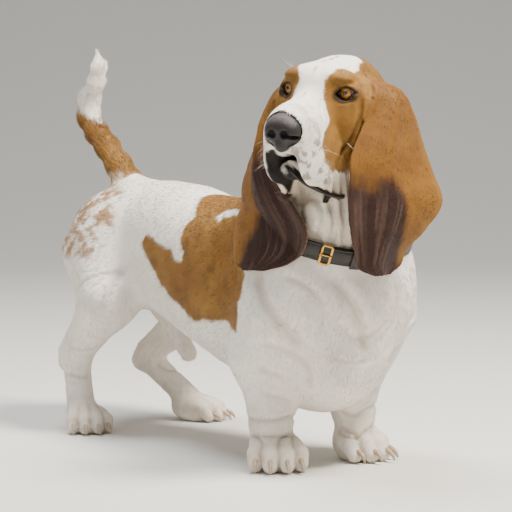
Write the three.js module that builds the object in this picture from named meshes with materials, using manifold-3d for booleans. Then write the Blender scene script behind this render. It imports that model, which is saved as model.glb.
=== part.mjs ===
// A basset hound standing with its head turned, as a life-size model.
// Millimetres, +Z up. The dog faces -Y, its left side is +X, and it stands on Z = 0.
// The body is one smooth field of blended forms. Its surface is traced, thinned to few
// triangles, and parted with thin cuts into the parts that a person would name.
import * as THREE from "three";
import { mergeVertices } from "three/addons/utils/BufferGeometryUtils.js";
import { edgeTable, triTable } from "three/addons/objects/MarchingCubes.js";
import Module from "manifold-3d";

const wasm = await Module();
wasm.setup();

// Driving dimensions
const withersHeight = 366; // top of the shoulders above the ground
const eyeHeight = 498; // midpoint of the eyes above the ground
const eyeGap = 76; // pupil to pupil
const eyeballRadius = 12.5;
const headYaw = 62.2; // degrees that the head turns to the dog's right
const headPitch = 8; // degrees that the nose drops
const headRoll = 4; // degrees that the head's left side drops
const gap = 0.3; // space between parts that touch

const vec = (x, y, z) => new THREE.Vector3(x, y, z);
const rad = THREE.MathUtils.degToRad;

// The head's own frame: origin midway between the eyes, x to its left, y backwards, z up.
const headPlace = vec(-70, -104, eyeHeight);
const headFrame = new THREE.Matrix4()
  .makeRotationZ(-rad(headYaw))
  .multiply(new THREE.Matrix4().makeRotationX(rad(headPitch)))
  .multiply(new THREE.Matrix4().makeRotationY(rad(headRoll)))
  .setPosition(headPlace);
const bodyFrame = new THREE.Matrix4();

// A field is a list of forms. Each gives a signed distance, and blends into those before it.
class Field {
  constructor() {
    this.forms = [];
  }
  add(distance, centre, reach, blend, carve = false) {
    this.forms.push({ distance, centre, reach, blend, carve });
    return this;
  }
  // An ellipsoid, with its own turn in degrees about its x, y and z axes.
  egg(frame, at, radii, blend = 20, turn = [0, 0, 0], carve = false) {
    const place = frame
      .clone()
      .multiply(
        new THREE.Matrix4()
          .makeRotationFromEuler(new THREE.Euler(...turn.map(rad)))
          .setPosition(...at),
      );
    const e = place.clone().invert().elements;
    const [rx, ry, rz] = radii;
    const least = Math.min(rx, ry, rz);
    const distance = (x, y, z) => {
      const px = (e[0] * x + e[4] * y + e[8] * z + e[12]) / rx;
      const py = (e[1] * x + e[5] * y + e[9] * z + e[13]) / ry;
      const pz = (e[2] * x + e[6] * y + e[10] * z + e[14]) / rz;
      const k0 = Math.sqrt(px * px + py * py + pz * pz);
      const k1 = Math.hypot(px / rx, py / ry, pz / rz);
      return k1 < 1e-9 ? -least : (k0 * (k0 - 1)) / k1;
    };
    const centre = vec(0, 0, 0).applyMatrix4(place);
    return this.add(distance, centre, Math.max(...radii), blend, carve);
  }
  // A bone with a round end at a of radius ra, and one at b of radius rb.
  bone(frame, a, ra, b, rb, blend = 20, carve = false) {
    const p = vec(...a).applyMatrix4(frame);
    const q = vec(...b).applyMatrix4(frame);
    const axis = q.clone().sub(p);
    const long = axis.length();
    axis.normalize();
    const lean = (ra - rb) / long;
    const rise = Math.sqrt(Math.max(1 - lean * lean, 1e-6));
    const distance = (x, y, z) => {
      const dx = x - p.x;
      const dy = y - p.y;
      const dz = z - p.z;
      const along = dx * axis.x + dy * axis.y + dz * axis.z;
      const out = Math.sqrt(Math.max(dx * dx + dy * dy + dz * dz - along * along, 0));
      const t = along + (lean / rise) * out;
      if (t <= 0) return Math.hypot(out, along) - ra;
      if (t >= long) return Math.hypot(out, along - long) - rb;
      return out * rise + along * lean - ra;
    };
    const centre = p.clone().add(q).multiplyScalar(0.5);
    return this.add(distance, centre, long / 2 + Math.max(ra, rb), blend, carve);
  }
  // The forms that can reach into a box.
  near(low, high) {
    const box = new THREE.Box3(vec(...low), vec(...high));
    const local = new Field();
    local.forms = this.forms.filter((f) => box.distanceToPoint(f.centre) < f.reach + f.blend + 30);
    return local;
  }
  at(x, y, z) {
    let d = 1e3;
    for (const f of this.forms) {
      const other = (f.carve ? -1 : 1) * f.distance(x, y, z);
      const h = Math.max(f.blend - Math.abs(d - other), 0) / f.blend;
      const soft = (h * h * f.blend) / 4;
      d = f.carve ? Math.max(d, other) + soft : Math.min(d, other) - soft;
    }
    return d;
  }
}

// The barrel of the body: stations from front to back, each with its top, bottom, half width and middle.
const barrelStations = [
  { y: -84, top: 300, bottom: 120, wide: 62, mid: 6 },
  { y: -50, top: 338, bottom: 92, wide: 98, mid: 5 },
  { y: 0, top: withersHeight, bottom: 82, wide: 108, mid: 3 },
  { y: 60, top: withersHeight + 1, bottom: 90, wide: 112, mid: 0 },
  { y: 120, top: 355, bottom: 108, wide: 113, mid: -2 },
  { y: 180, top: 346, bottom: 126, wide: 108, mid: -2 },
  { y: 240, top: 349, bottom: 142, wide: 99, mid: -2 },
  { y: 300, top: 360, bottom: 158, wide: 91, mid: 0 },
  { y: 350, top: 363, bottom: 172, wide: 86, mid: 0 },
  { y: 400, top: 361, bottom: 184, wide: 83, mid: 0 },
  { y: 450, top: 352, bottom: 192, wide: 76, mid: 0 },
  { y: 495, top: 334, bottom: 206, wide: 60, mid: 0 },
  { y: 530, top: 304, bottom: 232, wide: 34, mid: 0 },
];

function barrel(f) {
  const keys = ["top", "bottom", "wide", "mid"];
  const last = barrelStations.length - 1;
  const [front, back] = [barrelStations[0].y, barrelStations[last].y];
  const station = (y) => {
    const held = Math.min(Math.max(y, front), back);
    let i = 0;
    while (i < last - 1 && held > barrelStations[i + 1].y) i++;
    const [p, q] = [barrelStations[i], barrelStations[i + 1]];
    const before = barrelStations[Math.max(i - 1, 0)];
    const after = barrelStations[Math.min(i + 2, last)];
    const span = q.y - p.y;
    const t = (held - p.y) / span;
    const found = {};
    for (const key of keys) {
      const m0 = ((q[key] - before[key]) / (q.y - before.y)) * span;
      const m1 = ((after[key] - p[key]) / (after.y - p.y)) * span;
      found[key] =
        (2 * t ** 3 - 3 * t ** 2 + 1) * p[key] +
        (t ** 3 - 2 * t ** 2 + t) * m0 +
        (-2 * t ** 3 + 3 * t ** 2) * q[key] +
        (t ** 3 - t ** 2) * m1;
    }
    return found;
  };
  const bulge = 2.25; // squareness of the section: 2 is an ellipse
  const distance = (x, y, z) => {
    const s = station(y);
    const half = (s.top - s.bottom) / 2;
    const across = Math.abs(x - s.mid) / s.wide;
    const up = Math.abs(z - s.bottom - half) / half;
    const side = ((across ** bulge + up ** bulge) ** (1 / bulge) - 1) * Math.min(s.wide, half);
    const past = Math.max(front - y, y - back, 0);
    return past > 0 ? Math.hypot(past, Math.max(side, 0)) : side;
  };
  f.add(distance, vec(0, 228, 230), 400, 1);
}

function chestAndRump(f) {
  const b = bodyFrame;
  f.egg(b, [8, -62, 222], [66, 42, 84], 40); // breast
  f.egg(b, [4, -84, 232], [34, 24, 38], 40); // point of the breastbone
  f.egg(b, [2, -20, 130], [62, 70, 52], 40); // brisket
  f.egg(b, [80, -26, 236], [46, 70, 92], 34, [8, 0, 0]); // left shoulder
  f.egg(b, [-72, -22, 236], [44, 66, 92], 34, [8, 0, 0]); // right shoulder
  for (const side of [1, -1]) {
    f.egg(b, [side * 49, 442, 258], [50, 76, 84], 40, [-14, 0, 0]); // haunch
    f.egg(b, [side * 40, 492, 252], [38, 48, 62], 36); // point of the buttock
  }
  f.bone(b, [0, 374, 172], 17, [0, 312, 116], 12.5, 24); // sheath
}

function neck(f) {
  const b = bodyFrame;
  f.bone(b, [2, 8, 290], 84, [2, -34, 356], 74, 50);
  f.bone(b, [2, -34, 356], 68, [18, -50, 440], 58, 44);
  f.egg(b, [-20, -82, 350], [46, 38, 70], 36); // throat
  f.bone(b, [-62, -108, 392], 15, [-30, -106, 330], 19, 16); // hanging fold of the dewlap
  f.bone(b, [-18, -112, 372], 12, [-2, -112, 322], 15, 14);
}

function head(f) {
  const h = headFrame;
  f.egg(h, [0, 60, -14], [58, 74, 46], 30); // cranium
  f.egg(h, [0, 58, 12], [34, 56, 20], 20); // dome
  f.egg(h, [0, 120, -6], [20, 20, 18], 24); // bump at the back of the skull
  f.egg(h, [0, 8, 0], [39, 36, 32], 24); // forehead
  f.egg(h, [0, -60, -38], [33, 62, 33], 26, [-6, 0, 0]); // muzzle
  f.bone(h, [0, -18, -20], 22, [0, -86, -36], 21, 18); // bridge
  for (const side of [1, -1]) {
    f.egg(h, [side * 43, 26, -48], [23, 44, 52], 26); // cheek
    f.egg(h, [side * 24, -62, -68], [14, 38, 44], 16); // upper lip
    f.egg(h, [side * 29, -28, -94], [13, 32, 43], 16, [18, 0, 0]); // upper lip by the corner
    f.egg(h, [side * 30, 2, 20], [18, 17, 9], 12, [0, side * 10, 0]); // brow
    f.bone(h, [side * 44, 30, -10], 9, [side * 47, 10, -70], 8, 10); // fold from brow to cheek
  }
  f.egg(h, [0, 36, -86], [42, 50, 44], 30); // throat
}

function foreleg(f, side) {
  const b = bodyFrame;
  if (side > 0) {
    f.bone(b, [92, -22, 205], 46, [98, 6, 160], 36, 26);
    f.bone(b, [96, 4, 158], 36, [60, -4, 72], 27, 20);
    f.bone(b, [60, -4, 72], 27, [60, -10, 40], 28, 16);
  } else {
    f.bone(b, [-86, -22, 205], 46, [-92, 2, 150], 36, 26);
    f.bone(b, [-92, 0, 150], 36, [-76, -6, 72], 28, 20);
    f.bone(b, [-76, -6, 72], 28, [-80, -12, 40], 29, 16);
  }
}

function hindleg(f, side) {
  const b = bodyFrame;
  if (side > 0) {
    f.bone(b, [62, 432, 252], 62, [92, 378, 194], 42, 34); // thigh
    f.bone(b, [92, 380, 188], 38, [36, 470, 106], 21, 22); // second thigh
    f.bone(b, [32, 476, 104], 14, [28, 486, 88], 15, 10); // point of the hock
    f.bone(b, [34, 476, 90], 19, [72, 434, 38], 19, 14);
  } else {
    f.bone(b, [-60, 432, 252], 62, [-96, 376, 194], 42, 34);
    f.bone(b, [-98, 378, 188], 36, [-106, 452, 112], 25, 22);
    f.bone(b, [-108, 462, 108], 15, [-108, 474, 96], 14, 10);
    f.bone(b, [-106, 450, 104], 20, [-108, 434, 34], 21, 14);
  }
}

// A paw: its middle on the ground, the way its toes point in degrees from straight ahead, and its size.
const paws = [
  { name: "forepaw_left", at: [62, -20], turn: 8, size: 1, reach: 2 },
  { name: "forepaw_right", at: [-82, -30], turn: -32, size: 1.02, reach: 2 },
  { name: "hindpaw_left", at: [92, 412], turn: 40, size: 0.86, reach: 14 },
  { name: "hindpaw_right", at: [-114, 402], turn: -22, size: 0.86, reach: 14 },
];
const pawTop = 40; // height of the parting above the ground
const toes = [
  { x: -28, y: -12 },
  { x: -10.5, y: -25 },
  { x: 10.5, y: -25 },
  { x: 28, y: -12 },
];
const pawFrame = (paw) =>
  new THREE.Matrix4()
    .makeRotationZ(rad(paw.turn))
    .scale(vec(paw.size, paw.size, paw.size))
    .setPosition(paw.at[0], paw.at[1], 0);

function pawForms(f, paw) {
  const p = pawFrame(paw);
  f.egg(p, [0, 8 + paw.reach / 2, 22], [34, 30 + paw.reach, 26], 14);
  f.egg(p, [0, 2, 8], [27, 26 + paw.reach / 2, 12], 8); // pads
  for (const toe of toes) {
    f.bone(p, [toe.x * 0.75, toe.y + 26, 30], 12.5, [toe.x, toe.y + 4, 24], 12.5, 7);
    f.bone(p, [toe.x, toe.y + 4, 22], 12.5, [toe.x * 1.03, toe.y - 5, 11], 11, 4);
  }
}

// A claw bends forward and down out of the end of each toe.
function claw(paw, toe) {
  const root = vec(toe.x * 1.03, toe.y - 8, 16);
  const bend = new THREE.QuadraticBezierCurve3(
    root,
    root.clone().add(vec(toe.x * 0.06, -15, 1)),
    root.clone().add(vec(toe.x * 0.08, -19, -12)),
  );
  const rings = 6;
  const sides = 8;
  const points = [];
  const faces = [];
  for (let i = 0; i <= rings; i++) {
    const t = i / rings;
    const middle = bend.getPoint(t);
    const along = bend.getTangent(t);
    const across = vec(1, 0, 0).addScaledVector(along, -along.x).normalize();
    const up = across.clone().cross(along);
    const radius = 3.9 * Math.sqrt(1 - 0.93 * t);
    for (let j = 0; j < sides; j++) {
      const a = (2 * Math.PI * j) / sides;
      const p = middle.clone().addScaledVector(across, radius * 0.82 * Math.cos(a));
      points.push(...p.addScaledVector(up, radius * Math.sin(a)).toArray());
    }
  }
  points.push(...bend.getPoint(0).toArray(), ...bend.getPoint(1).toArray());
  const [first, tip] = [points.length / 3 - 2, points.length / 3 - 1];
  for (let j = 0; j < sides; j++) {
    const k = (j + 1) % sides;
    for (let i = 0; i < rings; i++) {
      const [a, b] = [i * sides + j, i * sides + k];
      faces.push(a, a + sides, b, b, a + sides, b + sides);
    }
    faces.push(first, j, k, tip, rings * sides + k, rings * sides + j);
  }
  return moved({ points, faces }, pawFrame(paw));
}

// The tail: middle and radius, from its root in the rump to its tip.
const tailLine = [
  { y: 440, z: 330, r: 30 },
  { y: 474, z: 350, r: 24 },
  { y: 503, z: 379, r: 19 },
  { y: 535, z: 406, r: 17.5 },
  { y: 567, z: 427, r: 17 },
  { y: 590, z: 449, r: 16.5 },
  { y: 589, z: 477, r: 15 },
  { y: 569, z: 504, r: 12 },
  { y: 559, z: 526, r: 9 },
  { y: 564, z: 545, r: 4.5 },
];

function tail(f) {
  for (let i = 0; i + 1 < tailLine.length; i++) {
    const [p, q] = [tailLine[i], tailLine[i + 1]];
    f.bone(bodyFrame, [0, p.y, p.z], p.r, [0, q.y, q.z], q.r, i ? 10 : 24);
  }
}

function wholeDog() {
  const f = new Field();
  barrel(f);
  chestAndRump(f);
  neck(f);
  head(f);
  for (const side of [1, -1]) {
    foreleg(f, side);
    hindleg(f, side);
  }
  paws.forEach((paw) => pawForms(f, paw));
  tail(f);
  return f;
}

// The lower jaw, between the hanging lips.
function jawForms() {
  const f = new Field();
  f.bone(headFrame, [0, -74, -88], 14, [0, 0, -98], 18, 10);
  for (const side of [1, -1]) f.bone(headFrame, [side * 12, -62, -90], 11, [side * 26, 6, -98], 13, 12);
  f.egg(headFrame, [0, -78, -84], [14, 13, 13], 8); // chin
  return f;
}

// Traces a field's surface inside a box, with cells of the given size, by marching cubes.
function trace(field, low, high, cell) {
  const n = low.map((v, i) => Math.ceil((high[i] - v) / cell) + 1);
  const grid = new Float32Array(n[0] * n[1] * n[2]);
  const at = (i, j, k) => i + n[0] * (j + n[1] * k);
  for (let k = 0; k < n[2]; k++)
    for (let j = 0; j < n[1]; j++)
      for (let i = 0; i < n[0]; i++) {
        const edge = !i || !j || !k || i === n[0] - 1 || j === n[1] - 1 || k === n[2] - 1;
        const d = edge ? cell : field.at(low[0] + i * cell, low[1] + j * cell, low[2] + k * cell);
        grid[at(i, j, k)] = Math.abs(d) < 1e-3 ? 1e-3 : d;
      }
  const corners = [[0, 0, 0], [1, 0, 0], [1, 1, 0], [0, 1, 0], [0, 0, 1], [1, 0, 1], [1, 1, 1], [0, 1, 1]];
  const edges = [[0, 1], [1, 2], [3, 2], [0, 3], [4, 5], [5, 6], [7, 6], [4, 7], [0, 4], [1, 5], [2, 6], [3, 7]];
  const found = new Map();
  const points = [];
  const faces = [];
  const along = (i, j, k, e) => {
    const [c0, c1] = edges[e].map((c) => corners[c]);
    const a = at(i + c0[0], j + c0[1], k + c0[2]);
    const b = at(i + c1[0], j + c1[1], k + c1[2]);
    const key = a * 3 + (c1[0] - c0[0] ? 0 : c1[1] - c0[1] ? 1 : 2);
    if (!found.has(key)) {
      const t = grid[a] / (grid[a] - grid[b]);
      found.set(key, points.length / 3);
      points.push(
        low[0] + cell * (i + c0[0] + t * (c1[0] - c0[0])),
        low[1] + cell * (j + c0[1] + t * (c1[1] - c0[1])),
        low[2] + cell * (k + c0[2] + t * (c1[2] - c0[2])),
      );
    }
    return found.get(key);
  };
  for (let k = 0; k + 1 < n[2]; k++)
    for (let j = 0; j + 1 < n[1]; j++)
      for (let i = 0; i + 1 < n[0]; i++) {
        let kind = 0;
        corners.forEach((c, m) => {
          if (grid[at(i + c[0], j + c[1], k + c[2])] < 0) kind |= 1 << m;
        });
        if (!edgeTable[kind]) continue;
        for (let m = kind * 16; triTable[m] !== -1; m += 3)
          faces.push(along(i, j, k, triTable[m + 2]), along(i, j, k, triTable[m + 1]), along(i, j, k, triTable[m]));
      }
  return { points, faces };
}

// Moves a mesh into a frame.
function moved({ points, faces }, frame) {
  const placed = [];
  for (let i = 0; i < points.length; i += 3)
    placed.push(...vec(points[i], points[i + 1], points[i + 2]).applyMatrix4(frame).toArray());
  return { points: placed, faces };
}

// The normal at each vertex, weighted by the area of its faces.
function normalsOf({ points, faces }) {
  const g = new THREE.BufferGeometry();
  g.setAttribute("position", new THREE.Float32BufferAttribute(points, 3));
  g.setIndex(Array.from(faces));
  g.computeVertexNormals();
  return g.getAttribute("normal").array;
}

// The same mesh, a little bigger all round.
function swollen(mesh, by) {
  const normals = normalsOf(mesh);
  return { points: mesh.points.map((v, i) => v + by * normals[i]), faces: mesh.faces };
}

// Joins edges, cheapest first, until few enough faces are left or the surface would move too far.
function thinned({ points, faces }, most, fewest = 0, longest = Infinity) {
  const p = Float64Array.from(points);
  const f = Int32Array.from(faces);
  const count = p.length / 3;
  const live = new Uint8Array(f.length / 3).fill(1);
  const around = Array.from({ length: count }, () => new Set());
  const q = new Float64Array(count * 11); // the squared distance to the planes met so far, and their area
  const version = new Int32Array(count);
  const normal = (a, b, c, moving, to) => {
    const at = (v, k) => (v === moving ? to[k] : p[v * 3 + k]);
    const u = [0, 1, 2].map((k) => at(b, k) - at(a, k));
    const w = [0, 1, 2].map((k) => at(c, k) - at(a, k));
    return [u[1] * w[2] - u[2] * w[1], u[2] * w[0] - u[0] * w[2], u[0] * w[1] - u[1] * w[0]];
  };
  for (let t = 0; t < live.length; t++) {
    const corners = [f[t * 3], f[t * 3 + 1], f[t * 3 + 2]];
    const n = normal(...corners, -1);
    const size = Math.hypot(...n);
    const area = size / 2;
    const [x, y, z] = size > 1e-12 ? n.map((v) => v / size) : [0, 0, 0];
    const d = -(x * p[corners[0] * 3] + y * p[corners[0] * 3 + 1] + z * p[corners[0] * 3 + 2]);
    const plane = [x * x, x * y, x * z, x * d, y * y, y * z, y * d, z * z, z * d, d * d];
    for (const v of corners) {
      around[v].add(t);
      plane.forEach((value, k) => (q[v * 11 + k] += value * area));
      q[v * 11 + 10] += area;
    }
  }
  const cost = (s, x, y, z) =>
    s[0] * x * x + 2 * s[1] * x * y + 2 * s[2] * x * z + 2 * s[3] * x + s[4] * y * y +
    2 * s[5] * y * z + 2 * s[6] * y + s[7] * z * z + 2 * s[8] * z + s[9];
  const best = (a, b) => {
    const s = Array.from({ length: 11 }, (_, k) => q[a * 11 + k] + q[b * 11 + k]);
    const spots = [0, 0.5, 1].map((t) => [0, 1, 2].map((k) => p[a * 3 + k] * (1 - t) + p[b * 3 + k] * t));
    const det =
      s[0] * (s[4] * s[7] - s[5] * s[5]) - s[1] * (s[1] * s[7] - s[5] * s[2]) + s[2] * (s[1] * s[5] - s[4] * s[2]);
    const scale = s[10] ** 3;
    if (Math.abs(det) > 1e-4 * scale) {
      const m = new THREE.Matrix3().set(s[0], s[1], s[2], s[1], s[4], s[5], s[2], s[5], s[7]).invert();
      spots.push(vec(-s[3], -s[6], -s[8]).applyMatrix3(m).toArray());
    }
    let found = { value: Infinity };
    const reach = Math.hypot(...[0, 1, 2].map((k) => p[a * 3 + k] - p[b * 3 + k]));
    for (const to of spots) {
      const off = Math.hypot(...[0, 1, 2].map((k) => to[k] - spots[1][k]));
      if (off > reach * 1.5) continue;
      const value = Math.max(cost(s, ...to), 0);
      if (value < found.value) found = { value, to };
    }
    found.far = reach > longest ? Infinity : Math.sqrt(found.value / s[10]);
    found.rank = found.value + 1e-5 * reach * s[10];
    return found;
  };
  const heap = [];
  const push = (item) => {
    let i = heap.push(item) - 1;
    while (i > 0) {
      const up = (i - 1) >> 1;
      if (heap[up].rank <= heap[i].rank) break;
      [heap[up], heap[i]] = [heap[i], heap[up]];
      i = up;
    }
  };
  const pop = () => {
    const top = heap[0];
    const last = heap.pop();
    if (heap.length) {
      heap[0] = last;
      for (let i = 0; ; ) {
        let low = i;
        for (const c of [2 * i + 1, 2 * i + 2]) if (c < heap.length && heap[c].rank < heap[low].rank) low = c;
        if (low === i) break;
        [heap[low], heap[i]] = [heap[i], heap[low]];
        i = low;
      }
    }
    return top;
  };
  const offer = (a, b) => {
    const found = best(a, b);
    if (found.far <= most) push({ ...found, a, b, made: version[a] + version[b] });
  };
  const beside = (v) => {
    const found = new Set();
    for (const t of around[v]) for (let k = 0; k < 3; k++) if (f[t * 3 + k] !== v) found.add(f[t * 3 + k]);
    return found;
  };
  for (let v = 0; v < count; v++) for (const w of beside(v)) if (v < w) offer(v, w);
  let left = live.length;
  while (heap.length && left > fewest) {
    const { a, b, to, made } = pop();
    if (made !== version[a] + version[b] || !around[a].size || !around[b].size) continue;
    const [near, other] = [beside(a), beside(b)];
    if (!near.has(b)) continue;
    let shared = 0;
    for (const v of near) if (other.has(v)) shared++;
    if (shared !== 2 || near.size + other.size < 8) continue;
    const turns = (v, w) => {
      for (const t of around[v]) {
        const c = [f[t * 3], f[t * 3 + 1], f[t * 3 + 2]];
        if (c.includes(w)) continue;
        const [n0, n1] = [normal(...c, -1), normal(...c, v, to)];
        const [l0, l1] = [Math.hypot(...n0), Math.hypot(...n1)];
        const dot = n0[0] * n1[0] + n0[1] * n1[1] + n0[2] * n1[2];
        if (l0 > 1e-6 && dot < 0.5 * l0 * l1) return true;
        const ends = c.map((u) => (u === v ? to : [p[u * 3], p[u * 3 + 1], p[u * 3 + 2]]));
        const sides = [0, 1, 2].map((k) => Math.hypot(...[0, 1, 2].map((m) => ends[k][m] - ends[(k + 1) % 3][m])));
        if (l1 < 0.04 * Math.max(...sides) ** 2 && l1 < l0) return true;
      }
      return false;
    };
    if (turns(a, b) || turns(b, a)) continue;
    for (let k = 0; k < 3; k++) p[a * 3 + k] = to[k];
    for (let k = 0; k < 11; k++) q[a * 11 + k] += q[b * 11 + k];
    for (const t of around[b]) {
      const corners = [f[t * 3], f[t * 3 + 1], f[t * 3 + 2]];
      if (corners.includes(a)) {
        live[t] = 0;
        left--;
        corners.forEach((v) => v !== b && around[v].delete(t));
      } else {
        f[t * 3 + corners.indexOf(b)] = a;
        around[a].add(t);
      }
    }
    around[b] = new Set();
    version[a]++;
    version[b]++;
    for (const v of beside(a)) offer(a, v);
  }
  const kept = new Map();
  const out = { points: [], faces: [] };
  for (let t = 0; t < live.length; t++)
    if (live[t])
      for (let k = 0; k < 3; k++) {
        const v = f[t * 3 + k];
        if (!kept.has(v)) {
          kept.set(v, kept.size);
          out.points.push(p[v * 3], p[v * 3 + 1], p[v * 3 + 2]);
        }
        out.faces.push(kept.get(v));
      }
  return out;
}

const solidOf = ({ points, faces }) =>
  new wasm.Manifold(
    new wasm.Mesh({
      numProp: 3,
      vertProperties: Float32Array.from(points),
      triVerts: Uint32Array.from(faces),
    }),
  );

// A three.js geometry as a solid, in a frame.
function geometrySolid(geometry, frame = bodyFrame) {
  const bare = geometry.clone();
  bare.deleteAttribute("normal");
  bare.deleteAttribute("uv");
  bare.applyMatrix4(frame);
  const merged = mergeVertices(bare, 1e-4);
  return solidOf({ points: merged.attributes.position.array, faces: merged.index.array });
}

const largest = (solid) => solid.decompose().reduce((a, b) => (a.volume() > b.volume() ? a : b));

function meshOf(solid) {
  const m = solid.getMesh();
  const points = [];
  for (let i = 0; i < m.numVert; i++) points.push(...m.vertProperties.subarray(i * m.numProp, i * m.numProp + 3));
  return { points, faces: Array.from(m.triVerts) };
}

// A straight-sided block: a convex outline, counter-clockwise, drawn in two axes and run along the third.
function block(outline, axis, from, to, grow, frame = bodyFrame) {
  const n = outline.length;
  const edges = outline.map((p, i) => {
    const q = outline[(i + 1) % n];
    const long = Math.hypot(q[0] - p[0], q[1] - p[1]);
    const out = [(q[1] - p[1]) / long, (p[0] - q[0]) / long];
    return { out, reach: out[0] * p[0] + out[1] * p[1] + grow };
  });
  const corners = edges.map((e, i) => {
    const d = edges[(i + n - 1) % n];
    const det = d.out[0] * e.out[1] - d.out[1] * e.out[0];
    return new THREE.Vector2(
      (d.reach * e.out[1] - e.reach * d.out[1]) / det,
      (d.out[0] * e.reach - e.out[0] * d.reach) / det,
    );
  });
  const g = new THREE.ExtrudeGeometry(new THREE.Shape(corners), {
    depth: to - from + 2 * grow,
    bevelEnabled: false,
    steps: 1,
  });
  g.translate(0, 0, from - grow);
  const [x, y, z] = { x: [[0, 1, 0], [0, 0, 1], [1, 0, 0]], y: [[0, 0, 1], [1, 0, 0], [0, 1, 0]], z: [[1, 0, 0], [0, 1, 0], [0, 0, 1]] }[axis];
  g.applyMatrix4(new THREE.Matrix4().makeBasis(vec(...x), vec(...y), vec(...z)));
  return geometrySolid(g, frame);
}

// The ears hang straight down, so their frame turns with the head but doesn't tilt with it.
const hangFrame = new THREE.Matrix4().makeRotationZ(-rad(headYaw)).setPosition(headPlace);
// Each ear from its root to its tip: height from the eyes, and the place of its front and rear edges.
const earStations = {
  left: [
    { z: 6, front: [56, 36], rear: [60, 62], bow: 0 },
    { z: -2, front: [68, 26], rear: [80, 76], bow: 6 },
    { z: -26, front: [68, 10], rear: [90, 96], bow: 14 },
    { z: -78, front: [62, -18], rear: [104, 108], bow: 16 },
    { z: -110, front: [60, -24], rear: [118, 106], bow: 13 },
    { z: -144, front: [60, -26], rear: [131, 101], bow: 11 },
    { z: -176, front: [64, -26], rear: [119, 82], bow: 9 },
    { z: -204, front: [68, -22], rear: [98, 60], bow: 8 },
    { z: -224, front: [72, -12], rear: [91, 52], bow: 6 },
    { z: -235, front: [79, 6], rear: [84, 32], bow: 4 },
  ],
  right: [
    { z: 6, front: [-56, 36], rear: [-60, 62], bow: 0 },
    { z: -4, front: [-66, 26], rear: [-80, 66], bow: 6 },
    { z: -30, front: [-68, 14], rear: [-92, 58], bow: 12 },
    { z: -58, front: [-66, 4], rear: [-106, 51], bow: 14 },
    { z: -98, front: [-60, -6], rear: [-130, 50], bow: 14 },
    { z: -137, front: [-48, -10], rear: [-142, 49], bow: 12 },
    { z: -176, front: [-26, -6], rear: [-132, 50], bow: 10 },
    { z: -205, front: [-30, -2], rear: [-112, 46], bow: 8 },
    { z: -224, front: [-48, 2], rear: [-96, 40], bow: 6 },
    { z: -235, front: [-66, 10], rear: [-84, 30], bow: 4 },
  ],
};
const earThick = 5; // in the middle of the leather, thinner towards its edge
const earRows = 18;
const earColumns = 8;

// An ear's middle sheet as rows of points, draped clear of the body's field.
function earSheet(name, body) {
  const stations = earStations[name];
  const out = name === "left" ? 1 : -1;
  const edge = (key) => new THREE.CatmullRomCurve3(stations.map((s) => vec(...s[key], s.z)));
  const [front, rear] = [edge("front"), edge("rear")];
  const bows = new THREE.CatmullRomCurve3(stations.map((s, i) => vec(i, s.bow, 0)));
  const rows = [];
  for (let i = 0; i <= earRows; i++) {
    const t = i / earRows;
    const [a, b] = [front.getPoint(t), rear.getPoint(t)];
    const across = b.clone().sub(a).setZ(0).normalize();
    const outward = vec(across.y, -across.x, 0).multiplyScalar(out);
    const bow = bows.getPoint(t).y;
    const row = [];
    for (let j = 0; j <= earColumns; j++) {
      const v = j / earColumns;
      const ridge = Math.exp(-(((v - 0.36) / 0.13) ** 2)) * 0.5; // the fold that runs down the leather
      const p = a.clone().lerp(b, v).addScaledVector(outward, bow * (Math.sin(Math.PI * v) + ridge - 0.25));
      p.applyMatrix4(hangFrame);
      const clear = 4 + earThick / 2;
      for (let step = 0; step < 8 && t > 0.16; step++) {
        const d = body.at(p.x, p.y, p.z);
        if (d >= clear) break;
        const slope = vec(
          body.at(p.x + 1, p.y, p.z) - d,
          body.at(p.x, p.y + 1, p.z) - d,
          (body.at(p.x, p.y, p.z + 1) - d) * 0.3,
        ).normalize();
        p.addScaledVector(slope, clear - d);
      }
      row.push(p);
    }
    rows.push(row);
  }
  return rows;
}

// Gives a sheet its thickness and a closed rim.
function earMesh(rows) {
  const wide = earColumns + 1;
  const index = (i, j) => i * wide + j;
  const sheet = { points: rows.flat().flatMap((p) => p.toArray()), faces: [] };
  for (let i = 0; i < earRows; i++)
    for (let j = 0; j < earColumns; j++)
      sheet.faces.push(index(i, j), index(i, j + 1), index(i + 1, j), index(i + 1, j), index(i, j + 1), index(i + 1, j + 1));
  const normals = normalsOf(sheet);
  const points = [];
  for (const side of [1, -1])
    for (let i = 0; i <= earRows; i++)
      for (let j = 0; j <= earColumns; j++) {
        const v = (2 * j) / earColumns - 1;
        const root = 3 * Math.max(1 - i / 4, 0);
        const half = (earThick / 2 + root) * Math.sqrt(1 - 0.75 * v * v) * (i === earRows ? 0.5 : 1);
        for (let k = 0; k < 3; k++) points.push(rows[i][j].toArray()[k] + side * half * normals[index(i, j) * 3 + k]);
      }
  const back = rows.length * wide;
  const faces = [...sheet.faces];
  for (let t = 0; t < sheet.faces.length; t += 3)
    faces.push(sheet.faces[t] + back, sheet.faces[t + 2] + back, sheet.faces[t + 1] + back);
  const rim = [];
  for (let j = 0; j < earColumns; j++) rim.push([index(0, j + 1), index(0, j)], [index(earRows, j), index(earRows, j + 1)]);
  for (let i = 0; i < earRows; i++) rim.push([index(i, 0), index(i + 1, 0)], [index(i + 1, earColumns), index(i, earColumns)]);
  for (const [a, b] of rim) faces.push(a, b, a + back, a + back, b, b + back);
  const mesh = { points, faces };
  return solidOf(mesh).volume() > 0 ? mesh : { points, faces: faces.map((_, i) => faces[i - (i % 3) + 2 - (i % 3)]) };
}

// The collar: a leather band round the neck, in a plane that rises towards the withers.
const collarWide = 25;
const collarThick = 3;
const collarMiddle = vec(-2, -6, 338);
const collarTilt = 27; // degrees
const collarSides = 48;
const buckleTurn = 244; // degrees round the neck from the dog's left

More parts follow.
